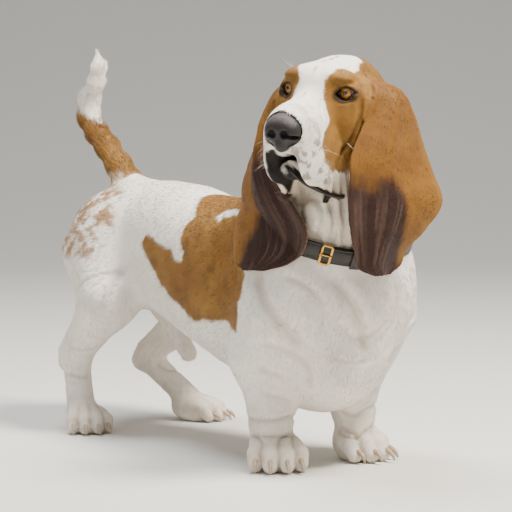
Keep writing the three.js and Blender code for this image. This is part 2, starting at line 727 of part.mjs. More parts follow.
function collarRing(body) {
  const back = vec(0, Math.cos(rad(collarTilt)), Math.sin(rad(collarTilt)));
  const up = vec(0, -back.z, back.y);
  const outAt = (a) => vec(Math.cos(a), 0, 0).addScaledVector(back, Math.sin(a));
  const reach = (a, height) => {
    const start = collarMiddle.clone().addScaledVector(up, height);
    let r = 40;
    for (let i = 0; i < 60 && r < 150; i++) {
      const p = start.clone().addScaledVector(outAt(a), r);
      const d = body.at(p.x, p.y, p.z);
      if (d > 0) break;
      r += Math.max(-d * 0.5, 0.2);
    }
    return r;
  };
  const ring = [];
  for (let i = 0; i < collarSides; i++) {
    const a = (2 * Math.PI * i) / collarSides;
    const [low, high] = [reach(a, -collarWide / 2), reach(a, collarWide / 2)];
    ring.push({ a, r: (low + high) / 2, lean: Math.max(-0.45, Math.min(0.45, (high - low) / collarWide)) });
  }
  for (let pass = 0; pass < 6; pass++) {
    const before = ring.map((s) => ({ ...s }));
    ring.forEach((s, i) => {
      const [p, q] = [before[(i + collarSides - 1) % collarSides], before[(i + 1) % collarSides]];
      s.r = Math.max(before[i].r, (p.r + q.r) / 2);
      s.lean = (p.lean + q.lean + 2 * before[i].lean) / 4;
    });
  }
  const place = (s, depth, height) =>
    collarMiddle
      .clone()
      .addScaledVector(up, height)
      .addScaledVector(outAt(s.a), s.r + s.lean * height + depth);
  return { ring, up, outAt, place };
}

function collarMesh({ ring, place }, inner, outer, half) {
  const points = [];
  const faces = [];
  const section = [[inner, -half], [outer, -half], [outer, half], [inner, half]];
  ring.forEach((s, i) => {
    const next = (i + 1) % collarSides;
    section.forEach(([depth, height], k) => {
      points.push(...place(s, depth, height).toArray());
      const [a, b] = [i * 4 + k, i * 4 + ((k + 1) % 4)];
      const [c, d] = [next * 4 + k, next * 4 + ((k + 1) % 4)];
      faces.push(a, c, b, b, c, d);
    });
  });
  return { points, faces };
}

// The buckle: a rectangular brass frame with its prong, flat on the collar.
function buckleSolid({ ring, up, outAt, place }) {
  const a = rad(buckleTurn);
  const s = ring[Math.round((collarSides * a) / (2 * Math.PI)) % collarSides];
  const out = outAt(s.a).addScaledVector(up, -s.lean).normalize();
  const along = up.clone().cross(out).normalize();
  const frame = new THREE.Matrix4()
    .makeBasis(along, out.clone().cross(along), out)
    .setPosition(place(s, collarThick - sunk + gap, 0).addScaledVector(out, 0.6));
  const rounded = (w, h, r, kind) => {
    const shape = new kind();
    shape.absarc(w / 2 - r, h / 2 - r, r, 0, Math.PI / 2);
    shape.absarc(r - w / 2, h / 2 - r, r, Math.PI / 2, Math.PI);
    shape.absarc(r - w / 2, r - h / 2, r, Math.PI, 1.5 * Math.PI);
    shape.absarc(w / 2 - r, r - h / 2, r, 1.5 * Math.PI, 2 * Math.PI);
    return shape;
  };
  const loop = rounded(21, 33, 4, THREE.Shape);
  loop.holes.push(rounded(13.5, 26, 2, THREE.Path));
  const flat = { depth: 3, bevelEnabled: false, curveSegments: 4 };
  const loopSolid = geometrySolid(new THREE.ExtrudeGeometry(loop, flat), frame);
  const prong = new THREE.BoxGeometry(20, 2.6, 2.2).translate(0, 0, 2);
  return loopSolid.add(geometrySolid(prong, frame));
}
const sunk = 0.8; // how far the collar presses into the coat

// Where the body is parted, each block in the order that it is taken: name, outline, axis, and how far it runs.
const halfBody = 240;
const partings = [
  { name: "tail", axis: "x", outline: [[445, 410], [524, 332], [700, 400], [700, 640], [445, 640]], span: [-70, 70] },
  { name: "head", axis: "x", outline: [[-260, -158], [30, -158], [150, 0], [156, 90], [-260, 90]], span: [-150, 150], frame: headFrame },
  { name: "neck", axis: "x", outline: [[-190, 208], [60, 395], [60, 560], [-190, 560]], span: [-halfBody, halfBody] },
];
for (const paw of paws) {
  const [x, y] = paw.at;
  const outline = [[x - 66, y - 80], [x + 66, y - 80], [x + 66, y + 62], [x - 66, y + 62]];
  partings.push({ name: paw.name, axis: "z", outline, span: [-20, pawTop] });
}
for (const [side, word] of [[1, "left"], [-1, "right"]]) {
  // outlines drawn in z and x, mirrored for the right side
  const mirrored = (outline) => (side > 0 ? outline : outline.map(([z, x]) => [z, -x]).reverse());
  partings.push({
    name: "foreleg_" + word,
    axis: "y",
    outline: mirrored([[pawTop, 24], [88, 36], [172, 62], [206, 170], [pawTop, 170]]),
    span: [-160, 120],
  });
  const low = [[20, 322], [190, 322], [190, 540], [2, 540], [2, 446]];
  partings.push({
    name: "hindleg_" + word,
    axis: "z",
    outline: side > 0 ? low : low.map(([x, y]) => [-x, y]).reverse(),
    span: [pawTop, 166],
  });
  partings.push({
    name: "thigh_" + word,
    axis: "x",
    outline: [[322, 166], [600, 166], [600, 250], [520, 326], [410, 326], [340, 262]],
    span: side > 0 ? [44, halfBody] : [-halfBody, -44],
  });
}
partings.push({ name: "chest", axis: "x", outline: [[-200, 0], [246, 0], [246, 420], [-200, 420]], span: [-halfBody, halfBody] });

// The field is traced in zones, each as fine as its forms need, and a parting cuts its node from its own zone.
const dog = wholeDog();
const bodyZone = { low: [-175, -150, -8], high: [175, 640, 575], cell: 7, faces: 4200 };
const headZone = { low: [-262, -246, 318], high: [66, 60, 566], cell: 3.4, faces: 2900 };
const pawZone = { wide: 74, cell: 2.8, faces: 470 };
const slack = 1.2; // most that thinning moves the surface

function traced(field, { low, high, cell, faces }) {
  return thinned(trace(field.near(low, high), low, high, cell), slack, faces);
}

const floorBlock = geometrySolid(new THREE.BoxGeometry(900, 1600, 100).translate(0, 200, -50));
const zones = { body: solidOf(traced(dog, bodyZone)).subtract(floorBlock) };
zones.head = solidOf(traced(dog, headZone));
for (const paw of paws) {
  const [x, y] = paw.at;
  const { wide, cell, faces } = pawZone;
  const zone = { low: [x - wide, y - wide - 12, -9], high: [x + wide, y + wide, pawTop + 14], cell, faces };
  zones[paw.name] = solidOf(traced(dog, zone)).subtract(floorBlock);
}

const solids = {};
const taken = {};
let rest = zones.body;
for (const { name, axis, outline, span, frame } of partings) {
  const cut = (grow) => block(outline, axis, ...span, grow, frame);
  let from = zones[name] ?? rest;
  for (const other of Object.values(taken)) from = zones[name] ? from.subtract(other) : from;
  solids[name] = largest(from.intersect(cut(-gap / 2)));
  taken[name] = cut(gap / 2);
  rest = rest.subtract(taken[name]);
}
solids.loin = largest(rest);

// Claws are rooted in the toes.
for (const paw of paws) {
  let whole = solids[paw.name];
  for (const toe of toes) whole = whole.add(solidOf(claw(paw, toe)));
  solids[paw.name] = largest(whole.subtract(floorBlock));
}

// Takes a mesh's room, with the gap, out of the nodes that it meets.
function letIn(mesh, names, room = solidOf(swollen(mesh, gap * 1.3))) {
  for (const name of names) solids[name] = largest(solids[name].subtract(room));
}

// Nose leather: the front of the muzzle, with a nostril on each side.
const noseForms = new Field();
noseForms.egg(headFrame, [0, -98, -37], [20, 17, 15], 6);
for (const side of [1, -1]) {
  noseForms.egg(headFrame, [side * 12, -100, -39], [11, 13, 12], 8);
  noseForms.egg(headFrame, [side * 8.5, -116, -38], [4.2, 7, 4], 2, [0, 0, side * 18], true);
  noseForms.egg(headFrame, [side * 17, -108, -41], [6, 8, 1.8], 2, [0, side * 16, 0], true);
}
const noseAt = vec(0, -100, -38).applyMatrix4(headFrame).toArray();
const around = (at, wide, cell, faces) => ({ low: at.map((v) => v - wide), high: at.map((v) => v + wide), cell, faces });
const nose = traced(noseForms, around(noseAt, 36, 2.1, 520));
letIn(nose, ["head"]);
solids.nose = solidOf(nose);

// The lower jaw ends where the throat begins.
const jawAt = vec(0, -36, -92).applyMatrix4(headFrame).toArray();
const jaw = traced(jawForms(), around(jawAt, 84, 3.6, 420));
letIn(jaw, ["head"]);
const jawEnd = block([[-130, -160], [14, -160], [14, 0], [-130, 0]], "x", -70, 70, 0, headFrame);
solids.lower_jaw = largest(solidOf(jaw).intersect(jawEnd));

// Eyes in their sockets, behind lids whose opening is a pointed oval.
const eyeDepth = 7.5;
const lidOpen = { wide: 25, high: 15 };
for (const [side, word] of [[1, "left"], [-1, "right"]]) {
  const frame = headFrame
    .clone()
    .multiply(new THREE.Matrix4().makeRotationZ(side * rad(14)).setPosition((side * eyeGap) / 2, eyeDepth, 0));
  const ball = new THREE.IcosahedronGeometry(eyeballRadius, 3);
  const lids = new THREE.SphereGeometry(eyeballRadius + 2.3, 20, 14).scale(1.12, 1, 1.02);
  const opening = new THREE.Shape();
  opening.moveTo(-lidOpen.wide / 2, 1);
  opening.quadraticCurveTo(0, lidOpen.high * 0.9, lidOpen.wide / 2, -1);
  opening.quadraticCurveTo(0, -lidOpen.high * 1.1, -lidOpen.wide / 2, 1);
  const slot = new THREE.ExtrudeGeometry(opening, { depth: 40, bevelEnabled: false, curveSegments: 8 });
  slot.rotateX(Math.PI / 2); // runs forwards, out of the face
  const socket = geometrySolid(new THREE.IcosahedronGeometry(eyeballRadius + gap, 3), frame);
  solids.head = largest(
    solids.head.add(geometrySolid(lids, frame)).subtract(geometrySolid(slot, frame)).subtract(socket),
  );
  solids["eye_" + word] = geometrySolid(ball, frame);
}

// Ears, collar and buckle
const draped = dog.near([-260, -260, 200], [200, 140, 560]);
for (const word of ["left", "right"]) {
  const ear = earMesh(earSheet(word, draped));
  letIn(ear, ["head", "neck", "chest"]);
  solids["ear_" + word] = solidOf(ear);
}
const neckOnly = new Field();
barrel(neckOnly);
chestAndRump(neckOnly);
neck(neckOnly);
const band = collarRing(neckOnly.near([-200, -200, 200], [200, 160, 460]));
const collar = collarMesh(band, -sunk, collarThick - sunk, collarWide / 2);
const collarRoom = collarMesh(band, -sunk - 2 * gap, collarThick - sunk + 2 * gap, collarWide / 2 + 2 * gap);
letIn(collar, ["neck", "chest"], solidOf(collarRoom));
solids.collar = solidOf(collar);
solids.buckle = buckleSolid(band);

// Each node's coat or finish
const coats = {
  white: { color: "#e9e4dc", roughness: 0.85 },
  tan: { color: "#a9642f", roughness: 0.85 },
  skin: { color: "#2b2023", roughness: 0.45 },
  eye: { color: "#7a4a1e", roughness: 0.1 },
  leather: { color: "#1b1c22", roughness: 0.55 },
  brass: { color: "#c9a24a", roughness: 0.3, metalness: 1 },
};
const finish = { nose: "skin", lower_jaw: "white", collar: "leather", buckle: "brass" };
const finishOf = (name) => finish[name] ?? (name.startsWith("ear") ? "tan" : name.startsWith("eye") ? "eye" : "white");

const shortest = 1.2; // edges left by the cuts that are shorter than this are joined
const level = 0.15; // a sole's points this near the ground lie on it
const basset = new THREE.Group();
const box = new THREE.Box3();
for (const [name, solid] of Object.entries(solids)) {
  const { points, faces } = thinned(meshOf(solid), 0.04, 0, shortest);
  for (let i = 2; i < points.length; i += 3) if (points[i] < level) points[i] = 0;
  const geometry = new THREE.BufferGeometry();
  geometry.setAttribute("position", new THREE.Float32BufferAttribute(points, 3));
  geometry.setIndex(faces);
  geometry.computeVertexNormals();
  geometry.computeBoundingBox();
  box.union(geometry.boundingBox);
  const mesh = new THREE.Mesh(geometry, new THREE.MeshStandardMaterial(coats[finishOf(name)]));
  mesh.name = name;
  basset.add(mesh);
}
// The origin lies on the ground under the middle of the dog.
const middle = box.getCenter(vec(0, 0, 0));
basset.position.set(-middle.x, -middle.y, -box.min.z);

export default basset;
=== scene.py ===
import math
import bpy
import openvdb
import numpy as np
from mathutils import Euler, Matrix, Vector, kdtree


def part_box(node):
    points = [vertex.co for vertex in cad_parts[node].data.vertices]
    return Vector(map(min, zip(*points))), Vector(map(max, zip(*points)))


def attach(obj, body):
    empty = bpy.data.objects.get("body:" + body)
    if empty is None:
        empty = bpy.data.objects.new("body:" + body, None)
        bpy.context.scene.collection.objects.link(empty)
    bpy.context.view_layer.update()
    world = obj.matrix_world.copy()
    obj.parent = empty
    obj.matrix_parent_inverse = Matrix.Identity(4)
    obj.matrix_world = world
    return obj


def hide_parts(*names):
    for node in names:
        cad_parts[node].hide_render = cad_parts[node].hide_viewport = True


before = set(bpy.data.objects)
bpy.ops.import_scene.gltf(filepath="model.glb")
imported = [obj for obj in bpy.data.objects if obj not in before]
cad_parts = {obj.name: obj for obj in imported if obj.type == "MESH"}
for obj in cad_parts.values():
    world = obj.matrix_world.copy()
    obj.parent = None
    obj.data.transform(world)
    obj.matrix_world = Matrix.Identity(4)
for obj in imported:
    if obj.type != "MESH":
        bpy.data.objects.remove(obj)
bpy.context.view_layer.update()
print("frame loaded")

# The dog is modelled in millimetres about a point on the ground between its fore feet,
# the way its solids were, and every finished mesh is moved onto the frame in metres.
headYaw = 62.2  # degrees the head turns to the dog's right
headPitch = 8
headRoll = 4
headAt = (-70, -104, 498)  # midway between the eyes
yawTurn = Matrix.Rotation(-math.radians(headYaw), 4, "Z")
headFrame = (
    Matrix.Translation(headAt)
    @ yawTurn
    @ Matrix.Rotation(math.radians(headPitch), 4, "X")
    @ Matrix.Rotation(math.radians(headRoll), 4, "Y")
)
hangFrame = Matrix.Translation(headAt) @ yawTurn
bodyFrame = Matrix.Identity(4)
fleshNodes = ["head", "neck", "chest", "loin", "tail", "lower_jaw"]
sidedNodes = ("forepaw", "hindpaw", "foreleg", "hindleg", "thigh", "ear")
for word in ("left", "right"):
    fleshNodes += [name + "_" + word for name in sidedNodes]
eyeBall = {"across": 38, "deep": 7.5, "radius": 12.5, "turn": 14}
lowCorner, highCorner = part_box("eye_left")
eyeSeen = (lowCorner + highCorner) * 500
shift = eyeSeen - headFrame @ Vector((eyeBall["across"], eyeBall["deep"], 0))
dice = np.random.default_rng(11)


def toRow(points):
    return (np.asarray(points, np.float64) + np.array(shift)) * 0.001


def inFrame(matrix, points):
    m = np.array(matrix)
    return np.asarray(points) @ m[:3, :3].T + m[:3, 3]


def smoothStep(low, high, value):
    t = np.clip((value - low) / (high - low), 0, 1)
    return t * t * (3 - 2 * t)


def unit(vectors):
    return vectors / np.maximum(np.linalg.norm(vectors, axis=-1, keepdims=True), 1e-9)


def noise(points, size, seed=0):  # smooth random values from 0 to 1, one blob per size
    q = np.asarray(points) / size + 100
    cell = np.floor(q).astype(np.int64)
    f = q - cell
    f = f * f * (3 - 2 * f)
    total = np.zeros(len(q))
    for corner in np.ndindex(2, 2, 2):
        c = cell + corner
        h = (c[:, 0] * 73856093) ^ (c[:, 1] * 19349663) ^ (c[:, 2] * 83492791) ^ ((seed + 1) * 2654435761)
        h = (h ^ (h >> 13)) * 1274126177
        value = ((h ^ (h >> 16)) & 0xFFFF) / 65535
        total += value * np.prod(np.where(corner, f, 1 - f), axis=1)
    return total


def cloud(points, size, seed=0):  # noise in three octaves, from about -1 to 1
    parts = [noise(points, size / 2**i, seed + i) * 0.5**i for i in range(3)]
    return (sum(parts) / 1.75 - 0.5) * 2.4


# The body's field: blended forms, each with a signed distance in millimetres.
def asForm(distance, centre, reach, blend, carve=False):
    return {"distance": distance, "centre": centre, "reach": reach, "blend": blend, "carve": carve}


def eggForm(place, at, radii, blend=20, turn=(0, 0, 0), carve=False):
    turned = Euler([math.radians(a) for a in turn], "ZYX").to_matrix().to_4x4()
    placed = place @ Matrix.Translation(at) @ turned
    m = np.array(placed.inverted())
    r = np.array(radii, float)

    def distance(x, y, z):
        p = [(m[i, 0] * x + m[i, 1] * y + m[i, 2] * z + m[i, 3]) / r[i] for i in range(3)]
        k0 = np.sqrt(p[0] ** 2 + p[1] ** 2 + p[2] ** 2)
        k1 = np.sqrt((p[0] / r[0]) ** 2 + (p[1] / r[1]) ** 2 + (p[2] / r[2]) ** 2)
        return k0 * (k0 - 1) / np.maximum(k1, 1e-6)

    return asForm(distance, placed.translation, max(radii), blend, carve)


def boneForm(place, a, ra, b, rb, blend=20, carve=False):
    p, q = place @ Vector(a), place @ Vector(b)
    axis = q - p
    long = axis.length
    axis.normalize()
    lean = (ra - rb) / long
    rise = math.sqrt(max(1 - lean * lean, 1e-6))

    def distance(x, y, z):
        dx, dy, dz = x - p.x, y - p.y, z - p.z
        along = dx * axis.x + dy * axis.y + dz * axis.z
        out = np.sqrt(np.maximum(dx * dx + dy * dy + dz * dz - along * along, 0))
        t = along + lean / rise * out
        middle = out * rise + along * lean - ra
        start, end = np.hypot(out, along) - ra, np.hypot(out, along - long) - rb
        return np.where(t <= 0, start, np.where(t >= long, end, middle))

    return asForm(distance, (p + q) / 2, long / 2 + max(ra, rb), blend, carve)


withersHeight = 366
barrelStations = np.array([  # from front to back: place, top, bottom, half width and middle
    (-84, 300, 120, 62, 6),
    (-50, 338, 92, 98, 5),
    (0, withersHeight, 82, 108, 3),
    (60, withersHeight + 1, 90, 112, 0),
    (120, 355, 108, 113, -2),
    (180, 346, 126, 108, -2),
    (240, 349, 142, 99, -2),
    (300, 360, 158, 91, 0),
    (350, 363, 172, 86, 0),
    (400, 361, 184, 83, 0),
    (450, 352, 192, 76, 0),
    (495, 334, 206, 60, 0),
    (530, 304, 232, 34, 0),
], float)


def barrelForm():
    s = barrelStations
    slope = np.gradient(s[:, 1:], s[:, 0], axis=0)

    def distance(x, y, z):
        held = np.clip(y, s[0, 0], s[-1, 0])
        i = np.clip(np.searchsorted(s[:, 0], held, side="right") - 1, 0, len(s) - 2)
        span = s[i + 1, 0] - s[i, 0]
        t = (held - s[i, 0]) / span
        parts = []
        for k in range(4):
            h = (2 * t**3 - 3 * t**2 + 1) * s[i, k + 1] + (t**3 - 2 * t**2 + t) * span * slope[i, k]
            h = h + (-2 * t**3 + 3 * t**2) * s[i + 1, k + 1]
            parts.append(h + (t**3 - t**2) * span * slope[i + 1, k])
        top, bottom, wide, mid = parts
        half = (top - bottom) / 2
        across, up = np.abs(x - mid) / wide, np.abs(z - bottom - half) / half
        side = ((across**2.25 + up**2.25) ** (1 / 2.25) - 1) * np.minimum(wide, half)
        past = np.maximum(np.maximum(s[0, 0] - y, y - s[-1, 0]), 0)
        return np.where(past > 0, np.hypot(past, np.maximum(side, 0)), side)

    return asForm(distance, Vector((0, 228, 230)), 400, 1)


def trunkForms():
    b = bodyFrame
    forms = [
        barrelForm(),
        eggForm(b, (8, -62, 222), (66, 42, 84), 40),  # breast
        eggForm(b, (4, -84, 232), (34, 24, 38), 40),  # point of the breastbone
        eggForm(b, (2, -20, 130), (62, 70, 52), 40),  # brisket
        eggForm(b, (80, -26, 236), (46, 70, 92), 34, (8, 0, 0)),  # left shoulder
        eggForm(b, (-72, -22, 236), (44, 66, 92), 34, (8, 0, 0)),  # right shoulder
    ]
    for side in (1, -1):
        forms.append(eggForm(b, (side * 49, 442, 258), (50, 76, 84), 40, (-14, 0, 0)))  # haunch
        forms.append(eggForm(b, (side * 40, 492, 252), (38, 48, 62), 36))  # point of the buttock
    forms.append(boneForm(b, (0, 374, 172), 17, (0, 312, 116), 12.5, 24))  # sheath
    forms += [
        boneForm(b, (2, 8, 290), 84, (2, -34, 356), 74, 50),
        boneForm(b, (2, -34, 356), 68, (18, -50, 440), 58, 44),
        eggForm(b, (-20, -82, 350), (46, 38, 70), 36),  # throat
        boneForm(b, (-62, -108, 392), 15, (-30, -106, 330), 19, 16),  # hanging fold of the dewlap
        boneForm(b, (-18, -112, 372), 12, (-2, -112, 322), 15, 14),
        eggForm(b, (-60, -103, 342), (26, 23, 28), 10),  # roll of loose skin over the collar
    ]
    return forms


def headForms():
    h = headFrame
    forms = [
        eggForm(h, (0, 60, -14), (58, 74, 46), 30),  # cranium
        eggForm(h, (0, 58, 12), (34, 56, 20), 20),  # dome
        eggForm(h, (0, 120, -6), (20, 20, 18), 24),  # bump at the back of the skull
        eggForm(h, (0, 8, 0), (39, 36, 32), 24),  # forehead
        eggForm(h, (0, -60, -38), (33, 62, 33), 26, (-6, 0, 0)),  # muzzle
        boneForm(h, (0, -18, -20), 22, (0, -86, -36), 21, 18),  # bridge
    ]
    for side in (1, -1):
        forms += [
            eggForm(h, (side * 43, 26, -48), (23, 44, 52), 26),  # cheek
            eggForm(h, (side * 24, -62, -68), (14, 38, 44), 16),  # upper lip
            eggForm(h, (side * 29, -28, -94), (13, 32, 43), 16, (18, 0, 0)),  # upper lip by the corner
            eggForm(h, (side * 30, 2, 20), (18, 17, 9), 12, (0, side * 10, 0)),  # brow
            boneForm(h, (side * 44, 30, -10), 9, (side * 47, 10, -70), 8, 10),  # fold from brow to cheek
        ]
    forms.append(eggForm(h, (0, 36, -86), (42, 50, 44), 30))  # throat
    return forms


def jawForms():
    forms = [boneForm(headFrame, (0, -70, -92), 13, (0, 0, -98), 18, 3)]
    for side in (1, -1):
        forms.append(boneForm(headFrame, (side * 12, -62, -90), 11, (side * 26, 6, -98), 13, 8))
    forms.append(eggForm(headFrame, (-2, -78, -88), (13, 12, 11), 8))  # chin
    return forms


legBones = [  # from, radius, to, radius, blend
    ((92, -22, 205), 46, (98, 6, 160), 36, 26),
    ((96, 4, 158), 36, (60, -4, 72), 27, 20),
    ((60, -4, 72), 27, (60, -10, 40), 28, 16),
    ((-86, -22, 205), 46, (-92, 2, 150), 36, 26),
    ((-92, 0, 150), 36, (-76, -6, 72), 28, 20),
    ((-76, -6, 72), 28, (-80, -12, 40), 29, 16),
    ((62, 432, 252), 62, (92, 378, 194), 42, 34),
    ((92, 380, 188), 38, (36, 470, 106), 21, 22),
    ((32, 476, 104), 14, (28, 486, 88), 15, 10),
    ((34, 476, 90), 19, (72, 434, 38), 19, 14),
    ((-60, 432, 252), 62, (-96, 376, 194), 42, 34),
    ((-98, 378, 188), 36, (-106, 452, 112), 25, 22),
    ((-108, 462, 108), 15, (-108, 474, 96), 14, 10),
    ((-106, 450, 104), 20, (-108, 434, 34), 21, 14),
]
paws = [
    {"name": "forepaw_left", "at": (62, -20), "turn": 8, "size": 1, "reach": 2},
    {"name": "forepaw_right", "at": (-82, -30), "turn": -32, "size": 1.02, "reach": 2},
    {"name": "hindpaw_left", "at": (92, 412), "turn": 40, "size": 0.86, "reach": 14},
    {"name": "hindpaw_right", "at": (-114, 402), "turn": -22, "size": 0.86, "reach": 14},
]
toes = [(-28, -12), (-10.5, -25), (10.5, -25), (28, -12)]


def pawFrame(paw):
    place = Matrix.Translation((paw["at"][0], paw["at"][1], 0))
    return place @ Matrix.Rotation(math.radians(paw["turn"]), 4, "Z") @ Matrix.Scale(paw["size"], 4)


def pawForms(paw):
    p = pawFrame(paw)
    k = paw["size"]
    eggSize = lambda *r: [v * k for v in r]
    place = p @ Matrix.Scale(1 / k, 4)
    at = lambda x, y, z: (x * k, y * k, z * k)
    forms = [
        eggForm(place, at(0, 8 + paw["reach"] / 2, 22), eggSize(34, 30 + paw["reach"], 26), 14),
        eggForm(place, at(0, 2, 8), eggSize(27, 26 + paw["reach"] / 2, 12), 8),  # pads
    ]
    for x, y in toes:
        forms.append(boneForm(p, (x * 0.75, y + 26, 30), 12.5 * k, (x, y + 4, 24), 12.5 * k, 7))
        forms.append(boneForm(p, (x, y + 4, 22), 12.5 * k, (x * 1.03, y - 5, 11), 11 * k, 3))
    return forms


tailLine = [  # place along the body, height, radius
    (440, 330, 30), (474, 350, 24), (503, 379, 19), (535, 406, 17.5), (567, 427, 17),
    (590, 449, 16.5), (589, 477, 15), (569, 504, 12), (559, 526, 9), (564, 545, 4.5),
]


def tailForms():
    forms = []
    for i, (p, q) in enumerate(zip(tailLine, tailLine[1:])):
        forms.append(boneForm(bodyFrame, (0, p[0], p[1]), p[2], (0, q[0], q[1]), q[2], 10 if i else 24))
    return forms


def blendIn(d, other, blend, carve=False):
    if carve:
        other = -other
    h = np.maximum(blend - np.abs(d - other), 0) / blend
    soft = h * h * blend / 4
    return np.maximum(d, other) + soft if carve else np.minimum(d, other) - soft


def fieldAt(forms, points):
    x, y, z = np.asarray(points, float).T
    d = np.full(len(x), 1e3)
    for f in forms:
        d = blendIn(d, f["distance"](x, y, z), f["blend"], f["carve"])
    return d


def gridField(forms, low, high, cell):
    first = [int(math.floor(v / cell)) for v in low]
    count = [int(math.ceil(v / cell)) - f + 1 for v, f in zip(high, first)]
    axes = [(np.arange(n) + f) * cell for n, f in zip(count, first)]
    d = np.full(count, 40, np.float32)
    for f in forms:
        margin = f["reach"] + f["blend"] + 12
        part = tuple(
            slice(max(int((c - margin) / cell) - i, 0), max(min(int((c + margin) / cell) - i + 2, n), 0))
            for c, i, n in zip(f["centre"], first, count)
        )
        x, y, z = axes[0][part[0]], axes[1][part[1]], axes[2][part[2]]
        if not (len(x) and len(y) and len(z)):
            continue
        other = f["distance"](x[:, None, None], y[None, :, None], z[None, None, :])
        d[part] = blendIn(d[part], other, f["blend"], f["carve"])
    return d, first


def surfaceOf(d, first, cell, level):
    grid = openvdb.FloatGrid(40.0)
    grid.transform = openvdb.createLinearTransform(cell)
    grid.copyFromArray(d, ijk=tuple(first))
    points, quads = grid.convertToQuads(isovalue=level)
    return points.astype(np.float64), quads.astype(np.int64)


def vertexNormals(points, faces):
    corner = [points[faces[:, k]] for k in range(faces.shape[1])]
    if len(corner) == 4:
        flat = np.cross(corner[2] - corner[0], corner[3] - corner[1])
    else:
        flat = np.cross(corner[1] - corner[0], corner[2] - corner[0])
    normals = np.zeros_like(points)
    for k in range(faces.shape[1]):
        np.add.at(normals, faces[:, k], flat)
    return unit(normals)


def makeMesh(name, points, faces, material, smooth=True):
    points = toRow(points)
    mesh = bpy.data.meshes.new(name)
    mesh.vertices.add(len(points))
    mesh.vertices.foreach_set("co", points.astype(np.float32).ravel())
    sides = faces.shape[1]
    mesh.loops.add(faces.size)
    mesh.loops.foreach_set("vertex_index", faces.astype(np.int32).ravel())
    mesh.polygons.add(len(faces))
    mesh.polygons.foreach_set("loop_start", np.arange(0, faces.size, sides, dtype=np.int32))
    mesh.polygons.foreach_set("loop_total", np.full(len(faces), sides, np.int32))
    mesh.update(calc_edges=True)
    mesh.validate()
    mesh.polygons.foreach_set("use_smooth", np.full(len(mesh.polygons), smooth))
    piece = bpy.data.objects.new(name, mesh)
    bpy.context.scene.collection.objects.link(piece)
    mesh.materials.append(material)
    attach(piece, "root")
    return piece


def paint(piece, name, values):  # a colour for each vertex
    layer = piece.data.attributes.new(name, "FLOAT_COLOR", "POINT")
    rgba = np.ones((len(piece.data.vertices), 4), np.float32)
    rgba[:, :3] = values
    layer.data.foreach_set("color", rgba.ravel())


# Ears: a sheet through level stations, bowed and rippled, given the leather's thickness.
earLeft = [  # height, front edge, rear edge, bow
    (6, (56, 36), (60, 62), 0), (-2, (68, 26), (80, 76), 6), (-26, (68, 10), (90, 96), 14),
    (-78, (60, -22), (104, 108), 16), (-110, (59, -27), (118, 106), 13), (-144, (58, -30), (131, 101), 11),
    (-176, (62, -30), (119, 82), 9), (-204, (66, -25), (98, 60), 8), (-224, (67, -20), (91, 52), 6),
    (-235, (79, 6), (84, 32), 4),
]
earRight = [
    (6, (-56, 36), (-60, 62), 0), (-4, (-66, 26), (-80, 66), 6), (-30, (-68, 14), (-92, 58), 12),
    (-58, (-66, 4), (-106, 51), 14), (-98, (-54, -10), (-130, 50), 14), (-137, (-30, -22), (-142, 49), 12),
    (-176, (-4, -26), (-132, 50), 10), (-205, (-14, -16), (-112, 46), 8), (-224, (-40, -4), (-96, 40), 6),
    (-235, (-66, 10), (-84, 30), 4),
]
earShape = {"rows": 96, "columns": 44, "clear": 6.5, "half": 3.2, "ripple": 3.2}  # sizes in millimetres


def earSheet(stations, side, body):
    rows, columns = earShape["rows"], earShape["columns"]
    table = np.array([(z, *front, *rear, bow) for z, front, rear, bow in stations], float)
    slopes = np.gradient(table, axis=0)
    t = np.linspace(0, len(table) - 1, rows)
    i = np.minimum(t.astype(int), len(table) - 2)
    f = (t - i)[:, None]
    row = (2 * f**3 - 3 * f**2 + 1) * table[i] + (f**3 - 2 * f**2 + f) * slopes[i]
    row += (-2 * f**3 + 3 * f**2) * table[i + 1] + (f**3 - f**2) * slopes[i + 1]
    v = np.linspace(0, 1, columns)[None, :, None]
    front, rear = row[:, None, 1:3], row[:, None, 3:5]
    across = unit(rear - front)
    outward = np.concatenate([across[..., 1:], -across[..., :1]], -1) * side
    down = np.linspace(0, 1, rows)[:, None, None]
    bend = np.sin(math.pi * v) + 0.5 * np.exp(-(((v - 0.36) / 0.13) ** 2)) - 0.25
    bow = row[:, None, 5:] * bend
    loose = smoothStep(0.25, 0.8, down) * (0.25 + 0.75 * np.abs(2 * v - 1) ** 2)
    bow = bow + earShape["ripple"] * loose * np.sin(8.2 * v + 5 * down + side)
    flat = front * (1 - v) + rear * v + outward * bow
    height = np.broadcast_to(row[:, None, :1], flat[..., :1].shape)
    local = np.concatenate([flat, height], -1).reshape(-1, 3)
    points = inFrame(hangFrame, local)
    free = np.repeat(np.linspace(0, 1, rows) > 0.16, columns)
    for _ in range(8):
        d = fieldAt(body, points)
        grad = np.stack([fieldAt(body, points + e) - d for e in np.eye(3)], -1)
        grad[:, 2] *= 0.3
        push = np.where(free, np.maximum(earShape["clear"] - d, 0), 0)
        points = points + unit(grad) * push[:, None] * 0.8
    return points.reshape(rows, columns, 3)


def sheetNormals(sheet, side):
    return unit(np.cross(np.gradient(sheet, axis=0), np.gradient(sheet, axis=1))) * side


